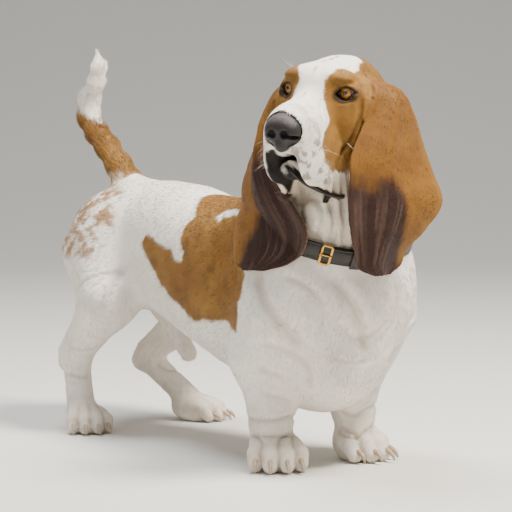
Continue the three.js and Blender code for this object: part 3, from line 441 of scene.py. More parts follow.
def thickSheet(sheet, side):
    rows, columns = sheet.shape[:2]
    n = sheetNormals(sheet, side)
    v = np.linspace(-1, 1, columns)[None, :, None]
    half = earShape["half"] * np.sqrt(1 - 0.5 * v**2) * np.ones((rows, 1, 1))
    half = half + 3 * np.clip(1 - np.linspace(0, 9, rows) / 3, 0, 1)[:, None, None]
    outer, inner = sheet + n * half, sheet - n * half
    points = np.concatenate([outer.reshape(-1, 3), inner.reshape(-1, 3)])
    index = np.arange(rows * columns).reshape(rows, columns)
    under = index + rows * columns
    quad = lambda m: np.stack([m[:-1, :-1], m[:-1, 1:], m[1:, 1:], m[1:, :-1]], -1).reshape(-1, 4)
    faces = [quad(index), quad(under)[:, ::-1]]
    rim = np.concatenate([index[0, :-1], index[:-1, -1], index[-1, :0:-1], index[:0:-1, 0]])
    below = rim + rows * columns
    faces.append(np.stack([rim, below, np.roll(below, -1), np.roll(rim, -1)], -1))
    return points, np.concatenate(faces)


def sheetField(points, faces, d, first, cell):
    across = openvdb.createLinearTransform(cell)
    grid = openvdb.FloatGrid.createLevelSetFromPolygons(
        points.astype(np.float32), quads=faces.astype(np.uint32), transform=across, halfWidth=12
    )
    out = np.zeros(d.shape, np.float32)
    grid.copyToArray(out, ijk=tuple(first))
    return out


# Eyes sit in sockets behind lids; a lid's opening is a pointed oval with a drooping lower edge.
eyes = {}
for side, word in ((1, "left"), (-1, "right")):
    turned = Matrix.Rotation(math.radians(side * eyeBall["turn"]), 4, "Z")
    eyes[word] = headFrame @ Matrix.Translation((side * eyeBall["across"], eyeBall["deep"], 0)) @ turned
lid = {"wide": 26, "up": 7.8, "down": 8.4, "thick": 2.2}


def openingHeight(x, up):
    t = np.clip(np.abs(x) / (lid["wide"] / 2), 0, 1)
    return lid["up" if up else "down"] * (1 - t**2.1)


def carveEyes(d, axes):
    x, y, z = axes[0][:, None, None], axes[1][None, :, None], axes[2][None, None, :]
    for word in eyes:
        m = np.array(eyes[word].inverted())
        p = [m[i, 0] * x + m[i, 1] * y + m[i, 2] * z + m[i, 3] for i in range(3)]
        r = np.sqrt(p[0] ** 2 + p[1] ** 2 + p[2] ** 2)
        lids = np.sqrt((p[0] / 1.12) ** 2 + p[1] ** 2 + (p[2] / 1.04) ** 2)
        lids = lids - eyeBall["radius"] - lid["thick"] - 1
        d = blendIn(d, lids, 5)
        hole = np.where(p[2] > 0, p[2] - openingHeight(p[0], True), -p[2] - openingHeight(p[0], False))
        hole = np.maximum(np.maximum(hole, np.abs(p[0]) - lid["wide"] / 2), p[1] + 2)
        d = np.maximum(d, -np.maximum(hole, r - 24))
        d = np.maximum(d, -(r - eyeBall["radius"] - 0.4))
    return d.astype(np.float32)


noseForms = [
    eggForm(headFrame, (0, -96, -31), (21, 20, 19), 6),
    eggForm(headFrame, (0, -104, -51), (8.5, 10.5, 11), 8),  # philtrum
]
for side in (1, -1):
    noseForms += [
        eggForm(headFrame, (side * 12, -100, -37), (12, 14, 14), 8),
        # the nostril, and the slit that runs back from it
        eggForm(headFrame, (side * 9.5, -118, -37), (5.6, 11, 5.8), 2.5, (0, 0, side * 18), True),
        eggForm(headFrame, (side * 19, -109, -41), (8, 10, 2.4), 2, (0, side * 16, 0), True),
    ]
noseForms.append(boneForm(headFrame, (0, -124, -36), 1.4, (0, -116, -62), 1.6, 2, True))

# Folds: lines on the head (in its own frame) or the body, pressed in or raised by a few millimetres.
folds = [  # frame, depth (pressed in), width, points
    ("head", 5.5, 3.2, [
        (50, 22, 14), (56, 8, -4), (60, -2, -33), (61, -21, -61), (62, -33, -88), (52, -34, -104),
    ]),
    ("head", -3.2, 4.5, [(46, 14, 16), (50, -1, -8), (54, -9, -36), (55, -27, -62), (55, -40, -86)]),
    ("head", 4.5, 3.4, [(46, 52, 24), (51, 47, 11), (64, 16, -22), (72, -11, -56), (72, -22, -86)]),
    ("head", -3, 5, [(52, 30, 14), (62, 8, -12), (67, -6, -42), (68, -24, -74)]),
    ("head", 5, 3.2, [(-50, 22, 14), (-56, 8, -4), (-60, -2, -33), (-61, -21, -61), (-62, -33, -88)]),
    ("head", -3, 4.5, [(-46, 14, 16), (-50, -1, -8), (-54, -9, -36), (-55, -27, -62)]),
    ("head", 4, 3.4, [(-51, 47, 11), (-64, 16, -22), (-72, -11, -56), (-72, -22, -86)]),
    ("body", 4.2, 2.8, [(-104, 9, 68), (-96, -33, 67), (-65, -36, 73), (-48, -16, 66)]),
    ("body", 4, 2.8, [(29, -5, 41), (31, -41, 32), (67, -38, 45), (88, -8, 48)]),
    ("body", 4, 2.8, [(25, -18, 68), (40, -29, 59), (58, -36, 70), (86, -12, 76)]),
    ("body", 3.4, 2.8, [(-106, 6, 46), (-92, -38, 44), (-60, -40, 50)]),
    ("body", 4, 3, [(-132, 436, 125), (-114, 412, 116), (-90, 401, 126)]),
    ("body", 3.4, 3, [(-130, 452, 84), (-112, 420, 78), (-90, 412, 86)]),
    ("body", 3.6, 3, [(30, 450, 84), (52, 438, 74), (78, 444, 82)]),
    ("body", 6, 8, [(-125, -29, 276), (-121, -51, 228), (-98, -73, 190), (-70, -84, 160)]),
    ("body", 5.5, 8, [(122, -24, 270), (116, -48, 224), (92, -72, 186)]),
    ("body", 5, 7, [(-49, -100, 261), (-22, -112, 228), (3, -109, 187), (8, -96, 150)]),
    ("body", -2.6, 8, [(-30, -104, 262), (0, -116, 226), (20, -108, 190)]),
    ("body", 3, 8, [(-112, 330, 250), (-104, 352, 216), (-112, 366, 180)]),
    ("body", 3, 8, [(104, 330, 250), (96, 352, 216), (106, 366, 180)]),
    ("body", -2.2, 7, [(-110, 60, 240), (-104, 130, 180), (-92, 200, 170)]),
    ("body", 2.4, 6, [(-116, 24, 300), (-122, 20, 250), (-116, 30, 205)]),
    ("body", 2.4, 6, [(112, 24, 300), (118, 20, 250), (112, 30, 205)]),
]
folds += [
    ("body", 3.4, 5, [(-98, -66, 262), (-70, -92, 244), (-52, -98, 214), (-60, -92, 184)]),
    ("body", -3.4, 7, [(-86, -76, 232), (-70, -90, 204), (-72, -84, 172)]),
    ("body", 3, 4.5, [(30, -106, 282), (52, -98, 252), (60, -92, 214), (48, -92, 176)]),
    ("body", -3, 7, [(70, -90, 250), (78, -84, 214), (70, -80, 178)]),
    ("body", 3, 4, [(-40, -104, 200), (-14, -110, 172), (20, -106, 176), (44, -96, 200)]),
    ("body", 2.6, 4, [(-46, -92, 160), (-16, -98, 142), (22, -96, 146)]),
    ("body", 3, 5, [(86, -62, 292), (104, -50, 262), (112, -40, 226)]),
    ("body", 2.6, 4, [(96, -52, 300), (110, -30, 282), (116, -8, 268)]),
    ("body", 3.6, 4, [(-108, -34, 178), (-84, -62, 162), (-54, -66, 142), (-40, -50, 118)]),
    ("body", 3.6, 4, [(104, -38, 176), (84, -62, 160), (56, -66, 142), (42, -48, 118)]),
    ("body", 2.8, 3.4, [(-112, -26, 140), (-92, -44, 128), (-62, -42, 118)]),
    ("body", 2.8, 3.4, [(104, -30, 142), (82, -46, 126), (52, -42, 112)]),
    ("body", 2.4, 3, [(-104, -22, 106), (-84, -40, 98), (-58, -34, 92)]),
    ("body", 2.6, 3, [(38, -28, 96), (62, -40, 92), (88, -22, 100)]),
]
for paw in paws:  # between the toes
    for x in (-19, 0, 19):
        gap = [(x * 1.1, -34 + abs(x) * 0.4, 3), (x * 1.02, -22, 24), (x * 0.9, -4, 36), (x * 0.7, 14, 42)]
        folds.append(("body", 4.2 * paw["size"], 2.6, inFrame(pawFrame(paw), gap)))
for side in (1, -1):
    for k, (rise, long) in enumerate(((9.5, 17), (15, 20))):  # folds over the upper lid
        arc = [
            (side * (38 + a * long), -7.5 + abs(a) * 6, rise - 9 * a * a + k * 1.5)
            for a in (-0.9, -0.5, 0, 0.5, 0.95)
        ]
        folds.append(("head", 2 - 0.5 * k, 1.6 + 0.6 * k, arc))
    under = [(side * (38 + a * 18), -8 + abs(a) * 6, -13 + 7 * a * a) for a in (-0.8, -0.4, 0, 0.4, 0.9)]
    folds.append(("head", 1.4, 1.8, under))
    folds.append(("head", 1.6, 2.6, [(side * 20, -30, -2), (side * 27, -52, -22), (side * 31, -66, -46)]))
dewlapWaves = {"apart": 15, "depth": 2.4}


def lineDistance(points, line):
    best = np.full(len(points), 1e3)
    for a, b in zip(line[:-1], line[1:]):
        ab = b - a
        t = np.clip((points - a) @ ab / (ab @ ab), 0, 1)
        best = np.minimum(best, np.linalg.norm(points - a - t[:, None] * ab, axis=1))
    return best


def softLine(line):  # a rounder line through the same points
    line = np.array(line, float)
    for _ in range(2):
        cut = np.empty((2 * len(line) - 2, 3))
        cut[0::2] = line[:-1] * 0.75 + line[1:] * 0.25
        cut[1::2] = line[:-1] * 0.25 + line[1:] * 0.75
        line = np.vstack([line[:1], cut[1:-1], line[-1:]])
    return line


def ontoSkin(line):  # more points along a line, each moved to the nearest skin
    ends = np.linspace(0, len(line) - 1, max(14, 3 * len(line)))
    line = np.stack([np.interp(ends, np.arange(len(line)), line[:, k]) for k in range(3)], -1)
    for _ in range(5):
        d = fieldAt(bodyForms, line) + coatDepth
        slope = np.stack([fieldAt(bodyForms, line + e) + coatDepth - d for e in np.eye(3)], -1)
        line = line - unit(slope) * d[:, None] * 0.8
    return line


def pressFolds(points, normals, free):
    moved = np.zeros(len(points))
    for place, depth, width, line in folds:
        matrix = headFrame if place == "head" else bodyFrame
        line = ontoSkin(inFrame(matrix, softLine(line)))
        near = np.all((points > line.min(0) - width * 3) & (points < line.max(0) + width * 3), axis=1)
        near &= ~free
        d = lineDistance(points[near], line)
        ends = np.minimum(
            np.linalg.norm(points[near] - line[0], axis=1), np.linalg.norm(points[near] - line[-1], axis=1)
        )
        moved[near] -= depth * np.exp(-((d / width) ** 2)) * smoothStep(0, width * 4, ends + width)
    throat = smoothStep(-20, -60, points[:, 1]) * smoothStep(270, 320, points[:, 2])
    throat *= smoothStep(400, 370, points[:, 2]) * smoothStep(80, 40, np.abs(points[:, 0] + 26))
    wave = points[:, 0] + 0.25 * points[:, 2] + 9 * cloud(points, 60, 5)
    wave = np.sin(wave * 2 * math.pi / dewlapWaves["apart"])
    moved += wave * dewlapWaves["depth"] * throat * ~free
    low = smoothStep(130, 90, points[:, 2])
    moved += (1.1 - 0.5 * low) * cloud(points, 46, 2) + 0.45 * cloud(points, 17, 8)
    return points + normals * moved[:, None]


collarPlane = {"at": np.array((-2, -6, 338.0)), "tilt": 27}
collarTilt = math.radians(collarPlane["tilt"])
collarUp = np.array((0, -math.sin(collarTilt), math.cos(collarTilt)))
coatDepth = 1.0
cells = {"body": 2.6, "head": 1.4}
bodyRoom = ((-165, -150, -4), (150, 620, 560))
headRoom = ((-215, -262, 250), (120, 90, 560))

bodyForms = trunkForms() + headForms()
for a, ra, b, rb, blend in legBones:
    bodyForms.append(boneForm(bodyFrame, a, ra, b, rb, blend))
for paw in paws:
    bodyForms += pawForms(paw)
bodyForms += tailForms()
formsByEars = 60  # the forms before this one in the list hold the ears away from the body
sheets = {
    "left": earSheet(earLeft, 1, bodyForms[:formsByEars]),
    "right": earSheet(earRight, -1, bodyForms[:formsByEars]),
}
print("ears laid out")


def gridAxes(d, first, cell):
    return [(np.arange(n) + f) * cell for n, f in zip(d.shape, first)]


def aboveCollar(axes):
    y, z = axes[1][None, :, None], axes[2][None, None, :]
    at = collarPlane["at"]
    return (y - at[1]) * collarUp[1] + (z - at[2]) * collarUp[2]


# The open corner of the mouth: a way cut up between the lips, with its radius at each place.
mouthWay = [
    ((-12, -114, -70), 10), ((-9, -100, -84), 14), ((2, -82, -106), 17), ((18, -60, -126), 13),
    ((32, -32, -142), 8),
]


def bodySurface():
    cell = cells["body"]
    d, first = gridField(bodyForms, *bodyRoom, cell)
    axes = gridAxes(d, first, cell)
    d = np.maximum(d, aboveCollar(axes) - 3)
    d = np.maximum(d, -0.8 - axes[2][None, None, :]).astype(np.float32)  # soles on the floor
    return surfaceOf(d, first, cell, -coatDepth)


def headSurface():
    cell = cells["head"]
    d, first = gridField(bodyForms, *headRoom, cell)
    axes = gridAxes(d, first, cell)
    d = np.maximum(d, -3 - aboveCollar(axes))
    x, y, z = axes[0][:, None, None], axes[1][None, :, None], axes[2][None, None, :]
    jaw, _ = gridField(jawForms(), *headRoom, cell)
    m = np.array(headFrame.inverted())
    behind = m[1, 0] * x + m[1, 1] * y + m[1, 2] * z + m[1, 3] - 14
    jaw = np.maximum(jaw, behind)
    mouth = np.full_like(d, 40)
    for (p, r), (q, s) in zip(mouthWay[:-1], mouthWay[1:]):
        mouth = blendIn(mouth, boneForm(headFrame, p, r, q, s)["distance"](x, y, z), 4)
    d = blendIn(d, mouth, 3, True)
    d = blendIn(d, jaw, 2)
    seat, _ = gridField([f for f in noseForms if not f["carve"]], *headRoom, cell)
    front = eggForm(headFrame, (0, -126, -36), (26, 20, 22), 2)["distance"](x, y, z)
    d = blendIn(d, front, 3, True)
    d = np.maximum(d, 0.8 - seat)
    d = carveEyes(d, axes)
    kept = {"flesh": d, "first": first, "cell": cell}
    for side, word in ((1, "left"), (-1, "right")):
        points, faces = thickSheet(sheets[word], side)
        ear = sheetField(points, faces, d, first, cell)
        kept[word] = ear
        root = smoothStep(-62, -8, z - headAt[2])
        blend = 1 + 20 * root
        h = np.maximum(blend - np.abs(d - ear), 0) / blend
        d = np.minimum(d, ear) - h * h * blend / 4
    return surfaceOf(d.astype(np.float32), first, cell, -coatDepth), kept


bodyPoints, bodyFaces = bodySurface()
print("body surface", len(bodyFaces))
(headPoints, headFaces), headGrids = headSurface()
print("head surface", len(headFaces))


# Parts of the skin, one number a vertex: they choose the markings, the lie and the tufts.
parts = ["trunk", "tail", "foreleg", "hindleg", "paw", "neck", "head", "earLeft", "earRight"]
partOf = {name: i for i, name in enumerate(parts)}


def bodyParts(p):
    part = np.full(len(p), partOf["trunk"])
    part[(p[:, 2] < 182) & (p[:, 1] < 60) & (np.abs(p[:, 0]) > 46)] = partOf["foreleg"]
    part[(p[:, 2] < 120) & (p[:, 1] < 60)] = partOf["foreleg"]
    part[(p[:, 2] < 205) & (p[:, 1] > 330) & (np.abs(p[:, 0]) > 34)] = partOf["hindleg"]
    part[p[:, 2] < 46] = partOf["paw"]
    part[(p[:, 2] > 352) & (p[:, 1] > 455) | (p[:, 2] > 372) & (p[:, 1] > 430)] = partOf["tail"]
    return part


def headParts(p):
    index = np.round(p / headGrids["cell"]).astype(int) - np.array(headGrids["first"])
    index = tuple(np.clip(index, 0, np.array(headGrids["flesh"].shape) - 1).T)
    flesh = headGrids["flesh"][index]
    local = inFrame(headFrame.inverted(), p)
    isHead = (local[:, 1] < 118) & (local[:, 2] > -128 + 0.5 * np.maximum(local[:, 1], -20))
    part = np.where(isHead, partOf["head"], partOf["neck"])
    for word, name in (("left", "earLeft"), ("right", "earRight")):
        ear = headGrids[word][index]
        part = np.where((ear < flesh - 1) & (ear < 4), partOf[name], part)
    return part


earTrees = {}
for word in ("left", "right"):
    tree = kdtree.KDTree(sheets[word].size // 3)
    for i, p in enumerate(sheets[word].reshape(-1, 3)):
        tree.insert(p, i)
    tree.balance()
    earTrees[word] = tree


def earPlaces(points, normals, word):  # how far down and across the ear, and whether on its outer side
    tree = earTrees[word]
    near = np.array([tree.find(p)[1] for p in points], int)
    rows, columns = earShape["rows"], earShape["columns"]
    outward = hangFrame.to_3x3() @ Vector((0.85 if word == "left" else -0.55, -0.5, 0.1))
    outer = normals @ np.array(outward) > -0.12
    return near // columns / (rows - 1), near % columns / (columns - 1), outer


def linear(hexColour):
    value = np.array([int(hexColour[i : i + 2], 16) / 255 for i in (1, 3, 5)])
    return np.where(value <= 0.04045, value / 12.92, ((value + 0.055) / 1.055) ** 2.4)


# Coat colours: white with a cream cast, red tan, and the dark brown of the ear tips.
coatInks = {
    "white": linear("#efeae0"),
    "shade": linear("#d8d0c4"),
    "cream": linear("#ddcdb0"),
    "soiled": linear("#c4ae90"),
    "tan": linear("#80571f"),
    "tanLight": linear("#9c7434"),
    "tanDark": linear("#573a12"),
    "roan": linear("#ab8258"),
    "earTan": linear("#6b4417"),
    # ear grey is a painted sheen on the dark brown of the ear tips
    "earDark": linear("#2c1811"),
    "earPaintedSheen": linear("#6b5449"),
    "tick": linear("#857569"),
    "pink": linear("#c08f7e"),
    # lip black also colours the painted shadow between the flews
    "lip": linear("#171210"),
}


def mix(a, b, t):
    return a * (1 - t[:, None]) + b * t[:, None]


def insideOutline(points, outline):  # distance inside a closed outline, negative outside it
    outline = np.array(outline, float)
    best = np.full(len(points), 1e6)
    inside = np.zeros(len(points), bool)
    for a, b in zip(outline, np.roll(outline, -1, axis=0)):
        ab = b - a
        t = np.clip((points - a) @ ab / max(ab @ ab, 1e-9), 0, 1)
        best = np.minimum(best, np.linalg.norm(points - a - t[:, None] * ab, axis=1))
        crosses = (a[1] > points[:, 1]) != (b[1] > points[:, 1])
        at = a[0] + (points[:, 1] - a[1]) / (b[1] - a[1] if b[1] != a[1] else 1e-9) * ab[0]
        inside ^= crosses & (points[:, 0] < at)
    return np.where(inside, best, -best)


def trunkChart(points):  # along the back, and round it from the spine (right side negative)
    points = np.asarray(points, float)
    return np.stack([points[:, 1], np.arctan2(points[:, 0], points[:, 2] - 240) * 100], -1)


saddle = [  # the tan patch over the right flank, and over the back to the left one
    (20, 236, 346), (-6, 242, 349), (-43, 223, 341), (-74, 180, 324), (-84, 185, 314), (-98, 184, 293),
    (-105, 162, 279), (-110, 163, 260), (-102, 203, 277), (-100, 222, 278), (-89, 281, 294),
    (-90, 298, 279),
    (-98, 253, 249), (-102, 223, 225), (-107, 186, 209), (-108, 125, 185), (-110, 54, 190), (-131, -2, 178),
    (-129, -14, 227), (-122, 4, 290), (-101, 34, 333), (-40, 70, 366), (20, 74, 366), (74, 40, 345),
    (112, 24, 300), (118, 40, 240), (110, 96, 205), (108, 160, 214), (104, 214, 250), (84, 262, 290),
    (60, 250, 330),
]
saddleStroke = [  # white inside the saddle, behind the withers
    (-82, 118, 326), (-75, 104, 334), (-88, 40, 350), (-96, 42, 338), (-85, 70, 331), (-88, 101, 318),
]
rumpRoan = [
    (-20, 470, 356), (-38, 452, 354), (-61, 389, 343), (-77, 385, 328), (-90, 372, 294), (-106, 382, 274),
    (-117, 385, 254), (-119, 456, 251), (-110, 500, 262), (-70, 528, 280), (0, 540, 300), (60, 520, 290),
    (84, 470, 300), (60, 430, 340), (20, 440, 360),
]
leftSpot = [(96, 330, 280), (100, 380, 290), (96, 410, 262), (98, 380, 236), (100, 340, 246)]
# The blaze, as turns round the muzzle's axis from the crown (degrees) and places along the head.
blazeHalf = [
    (0, 96), (20, 70), (30, 44), (33, 22), (25, 5), (17, -19), (33, -31), (66, -32), (74, -36), (91, -58),
    (114, -66), (135, -60), (143, -43), (146, -13), (150, 30), (180, 60), (184, -150), (0, -150),
]


def headChart(local):
    return np.stack([np.degrees(np.arctan2(np.abs(local[:, 0]), local[:, 2] + 40)), local[:, 1]], -1)


def markings(points, normals, part, pressed):
    n = len(points)
    inks = coatInks
    colour = np.tile(inks["white"], (n, 1))
    blotch = cloud(points, 70, 21)
    fine = cloud(points, 9, 22)
    colour = mix(colour, inks["shade"], np.clip(0.3 + 0.35 * blotch + 0.2 * fine, 0, 1))
    body = part <= partOf["paw"]
    chart = trunkChart(points)
    chart = chart + np.stack([cloud(points, 26, 31), cloud(points, 26, 32)], -1) * 4.5
    chart = chart + np.stack([cloud(points, 7, 33), cloud(points, 7, 34)], -1) * 2
    tan = np.tile(inks["tan"], (n, 1))
    tan = mix(tan, inks["tanLight"], np.clip(0.25 + 0.5 * cloud(points, 40, 41), 0, 1))
    tan = mix(tan, inks["tanDark"], np.clip(0.15 + 0.45 * cloud(points, 16, 42), 0, 1))

    onSaddle = smoothStep(-2.5, 2.5, insideOutline(chart, trunkChart(saddle)))
    onSaddle *= 1 - smoothStep(-2, 2.5, insideOutline(chart, trunkChart(saddleStroke)))
    trunk = (part == partOf["trunk"]) | (part == partOf["neck"])
    low = smoothStep(150, 176, points[:, 2])
    colour = mix(colour, tan, onSaddle * trunk * low)
    roan = smoothStep(-9, 7, insideOutline(chart, trunkChart(rumpRoan)) + 5 * fine)
    flecks = smoothStep(-0.35, 0.3, cloud(points, 8, 44) + 0.35 * cloud(points, 30, 45))
    colour = mix(colour, mix(tan, inks["roan"], np.full(n, 0.45)), roan * flecks * 0.9 * body)
    spot = smoothStep(-3, 3, insideOutline(chart, trunkChart(leftSpot)))
    colour = mix(colour, tan, spot * (part == partOf["trunk"]))

    # Feet and wrists are soiled, more so near the ground; the belly and groin are thin haired and pink.
    feet = smoothStep(92, 8, points[:, 2])
    colour = mix(colour, inks["soiled"], feet * np.clip(0.3 + 0.4 * cloud(points, 22, 51), 0, 0.75))
    belly = smoothStep(150, 120, points[:, 2]) * smoothStep(60, 150, points[:, 1])
    belly = belly * smoothStep(60, 30, np.abs(points[:, 0]))
    groin = smoothStep(80, 20, np.linalg.norm((points - (-14, 380, 176)) / (0.8, 1.1, 1), axis=1))
    colour = mix(colour, inks["pink"], np.clip(0.2 * belly + 0.22 * groin, 0, 1) * body)

    # The tail is tan from its root to half way, then white.
    tail = part == partOf["tail"]
    along = points[:, 2] + 6 * cloud(points, 18, 61) - 0.35 * (points[:, 1] - 560)
    tanTail = smoothStep(452, 440, along) * smoothStep(352, 372, points[:, 2] + 8 * fine)
    colour = mix(colour, tan, tanTail * tail)

    # Neck and dewlap are creamy.
    neck = part == partOf["neck"]
    colour = mix(colour, inks["cream"], neck * np.clip(0.45 + 0.4 * blotch, 0, 1))

    head = part == partOf["head"]
    local = inFrame(headFrame.inverted(), points)
    hc = headChart(local) + np.stack([cloud(points, 14, 71) * 4, cloud(points, 14, 72) * 3], -1)
    blaze = smoothStep(-1.6, 1.6, insideOutline(hc, blazeHalf))
    headTan = mix(tan, inks["tanLight"], smoothStep(20, 34, local[:, 2]) * 0.25)
    headTan = mix(headTan, inks["tanDark"], smoothStep(30, 60, local[:, 1]) * 0.25)
    under = smoothStep(-96, -112, local[:, 2] + 4 * fine)
    onHead = np.clip(blaze + under, 0, 1)
    headColour = mix(headTan, np.tile(inks["white"], (n, 1)), onHead)
    headColour = mix(headColour, inks["cream"], under * 0.6)
    muzzle = smoothStep(-34, -56, local[:, 1]) * onHead
    lower = smoothStep(-20, -70, local[:, 2])
    ticks = smoothStep(0.28, 0.5, cloud(points, 7.5, 81) + 0.25 * lower - 0.05)
    headColour = mix(headColour, inks["tick"], ticks * muzzle * (0.35 + 0.45 * lower))
    besideNose = smoothStep(17, 8, np.linalg.norm((local - (22, -84, -36)) / (1, 1, 1.5), axis=1))
    headColour = mix(headColour, inks["roan"], besideNose * 0.75 * smoothStep(-0.5, 0.3, fine))
    aboveNose = smoothStep(13, 5, np.linalg.norm((local - (8, -80, -14)) / (1.6, 1, 1), axis=1))
    headColour = mix(headColour, inks["pink"], aboveNose * 0.7)
    colour = np.where(head[:, None], headColour, colour)
    for word in eyes:  # bare dark skin round the lids
        e = inFrame(eyes[word].inverted(), points)
        opening = np.where(e[:, 2] > 0, lid["up"], lid["down"] + 0.5)
        lidRound = np.sqrt((e[:, 0] / (lid["wide"] / 2)) ** 2 + (e[:, 2] / opening) ** 2)
        ring = smoothStep(1.45, 1.04, lidRound + 0.1 * fine) * (e[:, 1] < 4) * head
        colour = mix(colour, inks["lip"], ring * 0.85)
    lipLine = inFrame(headFrame, softLine(lipEdge))
    lipD = lineDistance(points, lipLine)
    colour = mix(colour, inks["lip"], smoothStep(5.5, 2.5, lipD + 1.2 * fine) * head)
    inMouth = np.full(n, 1e3)
    for (p, r), (q, s) in zip(mouthWay[:-1], mouthWay[1:]):
        a, b = np.array(p, float), np.array(q, float)
        t = np.clip((local - a) @ (b - a) / ((b - a) @ (b - a)), 0, 1)
        gap = np.linalg.norm(local - a - t[:, None] * (b - a), axis=1) - (r + (s - r) * t)
        inMouth = np.minimum(inMouth, gap)
    chin = smoothStep(12, 7, np.linalg.norm((local - (-2, -89, -84)) / (1, 1, 0.8), axis=1))
    # Painted shadow: the opening between the flews under the muzzle, down to the chin, is coloured lip
    # black where shade falls; the lips and the mouth channel are really dark.
    edgeX = np.interp(-local[:, 2], [60, 64, 76, 84, 99, 112, 125, 134], [-20, -16, -7, 5, 11, 27, 35, 40])
    front = smoothStep(-61, -66, local[:, 2]) * smoothStep(-28, -36, local[:, 1])
    front *= smoothStep(-27, -24, local[:, 0]) * smoothStep(edgeX + 1.5, edgeX - 1.5, local[:, 0] + fine)
    front *= smoothStep(-138, -130, local[:, 2])
    dark = np.maximum(smoothStep(3.2, 1.6, inMouth + 0.5 * fine), front) * head * (1 - 0.5 * chin)
    colour = mix(colour, inks["lip"], dark)

    for word, name in (("left", "earLeft"), ("right", "earRight")):
        ear = np.flatnonzero(part == partOf[name])
        if not len(ear):
            continue
        down, across, outer = earPlaces(points[ear], normals[ear], word)
        p = points[ear]
        whole = (len(ear), 1)
        red = mix(np.tile(inks["earTan"], whole), inks["tan"], np.clip(0.5 + 0.6 * cloud(p, 24, 91), 0, 1))
        red = mix(red, inks["tanLight"], smoothStep(0.8, 1, across) * 0.3)
        streak = noise(np.stack([across * 60, down * 5, down * 0 + outer], -1), 1, 93)
        line = 0.43 + 0.08 * cloud(p, 40, 92) + 0.46 * smoothStep(0.35, 0.95, across)
        dark = smoothStep(line - 0.06, line + 0.08, down + 0.06 * (streak - 0.5))
        # Painted sheen: grey streaks over the dark brown stand in for the shine along the ear's hair.
        brown = mix(np.tile(inks["earDark"], whole), inks["earPaintedSheen"], np.clip(0.9 * streak - 0.45, 0, 0.35))
        inner = mix(np.tile(inks["earTan"], whole), inks["pink"], np.full(len(ear), 0.3))
        shade = mix(red, brown, dark)
        colour[ear] = np.where(outer[:, None], shade, mix(inner, brown, np.full(len(ear), 0.35)))
    # Painted shade: the colour is darkened where folds press the skin in, more on the head than on the
    # body.
    foldShade = np.where(part >= partOf["head"], 0.5, 0.2) * smoothStep(0.6, 4.5, pressed)
    colour = colour * (1 - foldShade[:, None] * np.array((0.8, 1, 1.15)))
    return np.clip(colour, 0.004, 1)


lipEdge = [
    (-16, -99, -64), (-7, -88, -78), (5, -91, -86), (11, -77, -101), (25, -64, -112), (35, -38, -125),
    (40, -13, -134), (38, 8, -132),
]

skinPoints = np.concatenate([bodyPoints, headPoints])
skinFaces = np.concatenate([bodyFaces, headFaces + len(bodyPoints)])
skinPart = np.concatenate([bodyParts(bodyPoints), headParts(headPoints)])
skinNormals = vertexNormals(skinPoints, skinFaces)
folded = pressFolds(skinPoints, skinNormals, skinPart >= partOf["earLeft"])
pressed = -np.sum((folded - skinPoints) * skinNormals, axis=1)
skinPoints = folded
skinPoints[:, 2] = np.maximum(skinPoints[:, 2], 0.1)
skinNormals = vertexNormals(skinPoints, skinFaces)
skinColours = markings(skinPoints, skinNormals, skinPart, pressed)
print("folds and markings done")


def makeMaterial(name):
    material = bpy.data.materials.new(name)
    material.use_nodes = True
    tree = material.node_tree
    return material, tree, tree.nodes["Principled BSDF"]


def addNode(tree, kind, settings=None, links=None):
    node = tree.nodes.new(kind)
    for key, value in (settings or {}).items():
        if key in node.inputs:
            node.inputs[key].default_value = value
        else:
            setattr(node, key, value)
    for key, socket in (links or {}).items():
        tree.links.new(socket, node.inputs[key])
    return node


def setSockets(shader, **values):
    for name, value in values.items():
        shader.inputs[name.replace("_", " ")].default_value = value


def shortCoat():
    # Short, flat, slightly oily hound hair over loose skin: a soft broad gloss, brighter at grazing angles.
    material, tree, shader = makeMaterial("hound_coat_short_hair")
    colour = addNode(tree, "ShaderNodeAttribute", {"attribute_name": "coatColour"})
    place = addNode(tree, "ShaderNodeTexCoord")
    here = {"Vector": place.outputs["Object"]}
    # Clumps of coat about 4 mm across; single hairs are drawn at 1.1 mm, coarser than real, to show.
    clumps = addNode(tree, "ShaderNodeTexNoise", {"Scale": 260, "Detail": 3, "Roughness": 0.6}, here)
    value = addNode(
        tree, "ShaderNodeMapRange", {"To Min": 0.86, "To Max": 1.1}, {"Value": clumps.outputs["Fac"]}
    )
    varied = addNode(
        tree, "ShaderNodeHueSaturation", None,
        {"Color": colour.outputs["Color"], "Value": value.outputs["Result"]},
    )
    hair = addNode(tree, "ShaderNodeTexNoise", {"Scale": 900, "Detail": 2}, here)
    bump = addNode(
        tree, "ShaderNodeBump", {"Strength": 0.35, "Distance": 0.0005}, {"Height": hair.outputs["Fac"]}
    )
    tree.links.new(varied.outputs["Color"], shader.inputs["Base Color"])
    tree.links.new(bump.outputs["Normal"], shader.inputs["Normal"])
    setSockets(shader, Roughness=0.66, IOR=1.5, Sheen_Weight=0.03, Specular_IOR_Level=0.22)
    return material


def tuftHair():
    # Locks of the same hair, lying flat: each catches a thin line of light along it.
    material, tree, shader = makeMaterial("hound_coat_tufts")
    colour = addNode(tree, "ShaderNodeAttribute", {"attribute_name": "coatColour"})
    tree.links.new(colour.outputs["Color"], shader.inputs["Base Color"])
    setSockets(shader, Roughness=0.55, IOR=1.55, Sheen_Weight=0.03, Specular_IOR_Level=0.25)
    return material


coatMaterial = shortCoat()
skin = makeMesh("skin", skinPoints, skinFaces, coatMaterial)
paint(skin, "coatColour", skinColours)
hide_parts(*fleshNodes)
print("skin made")

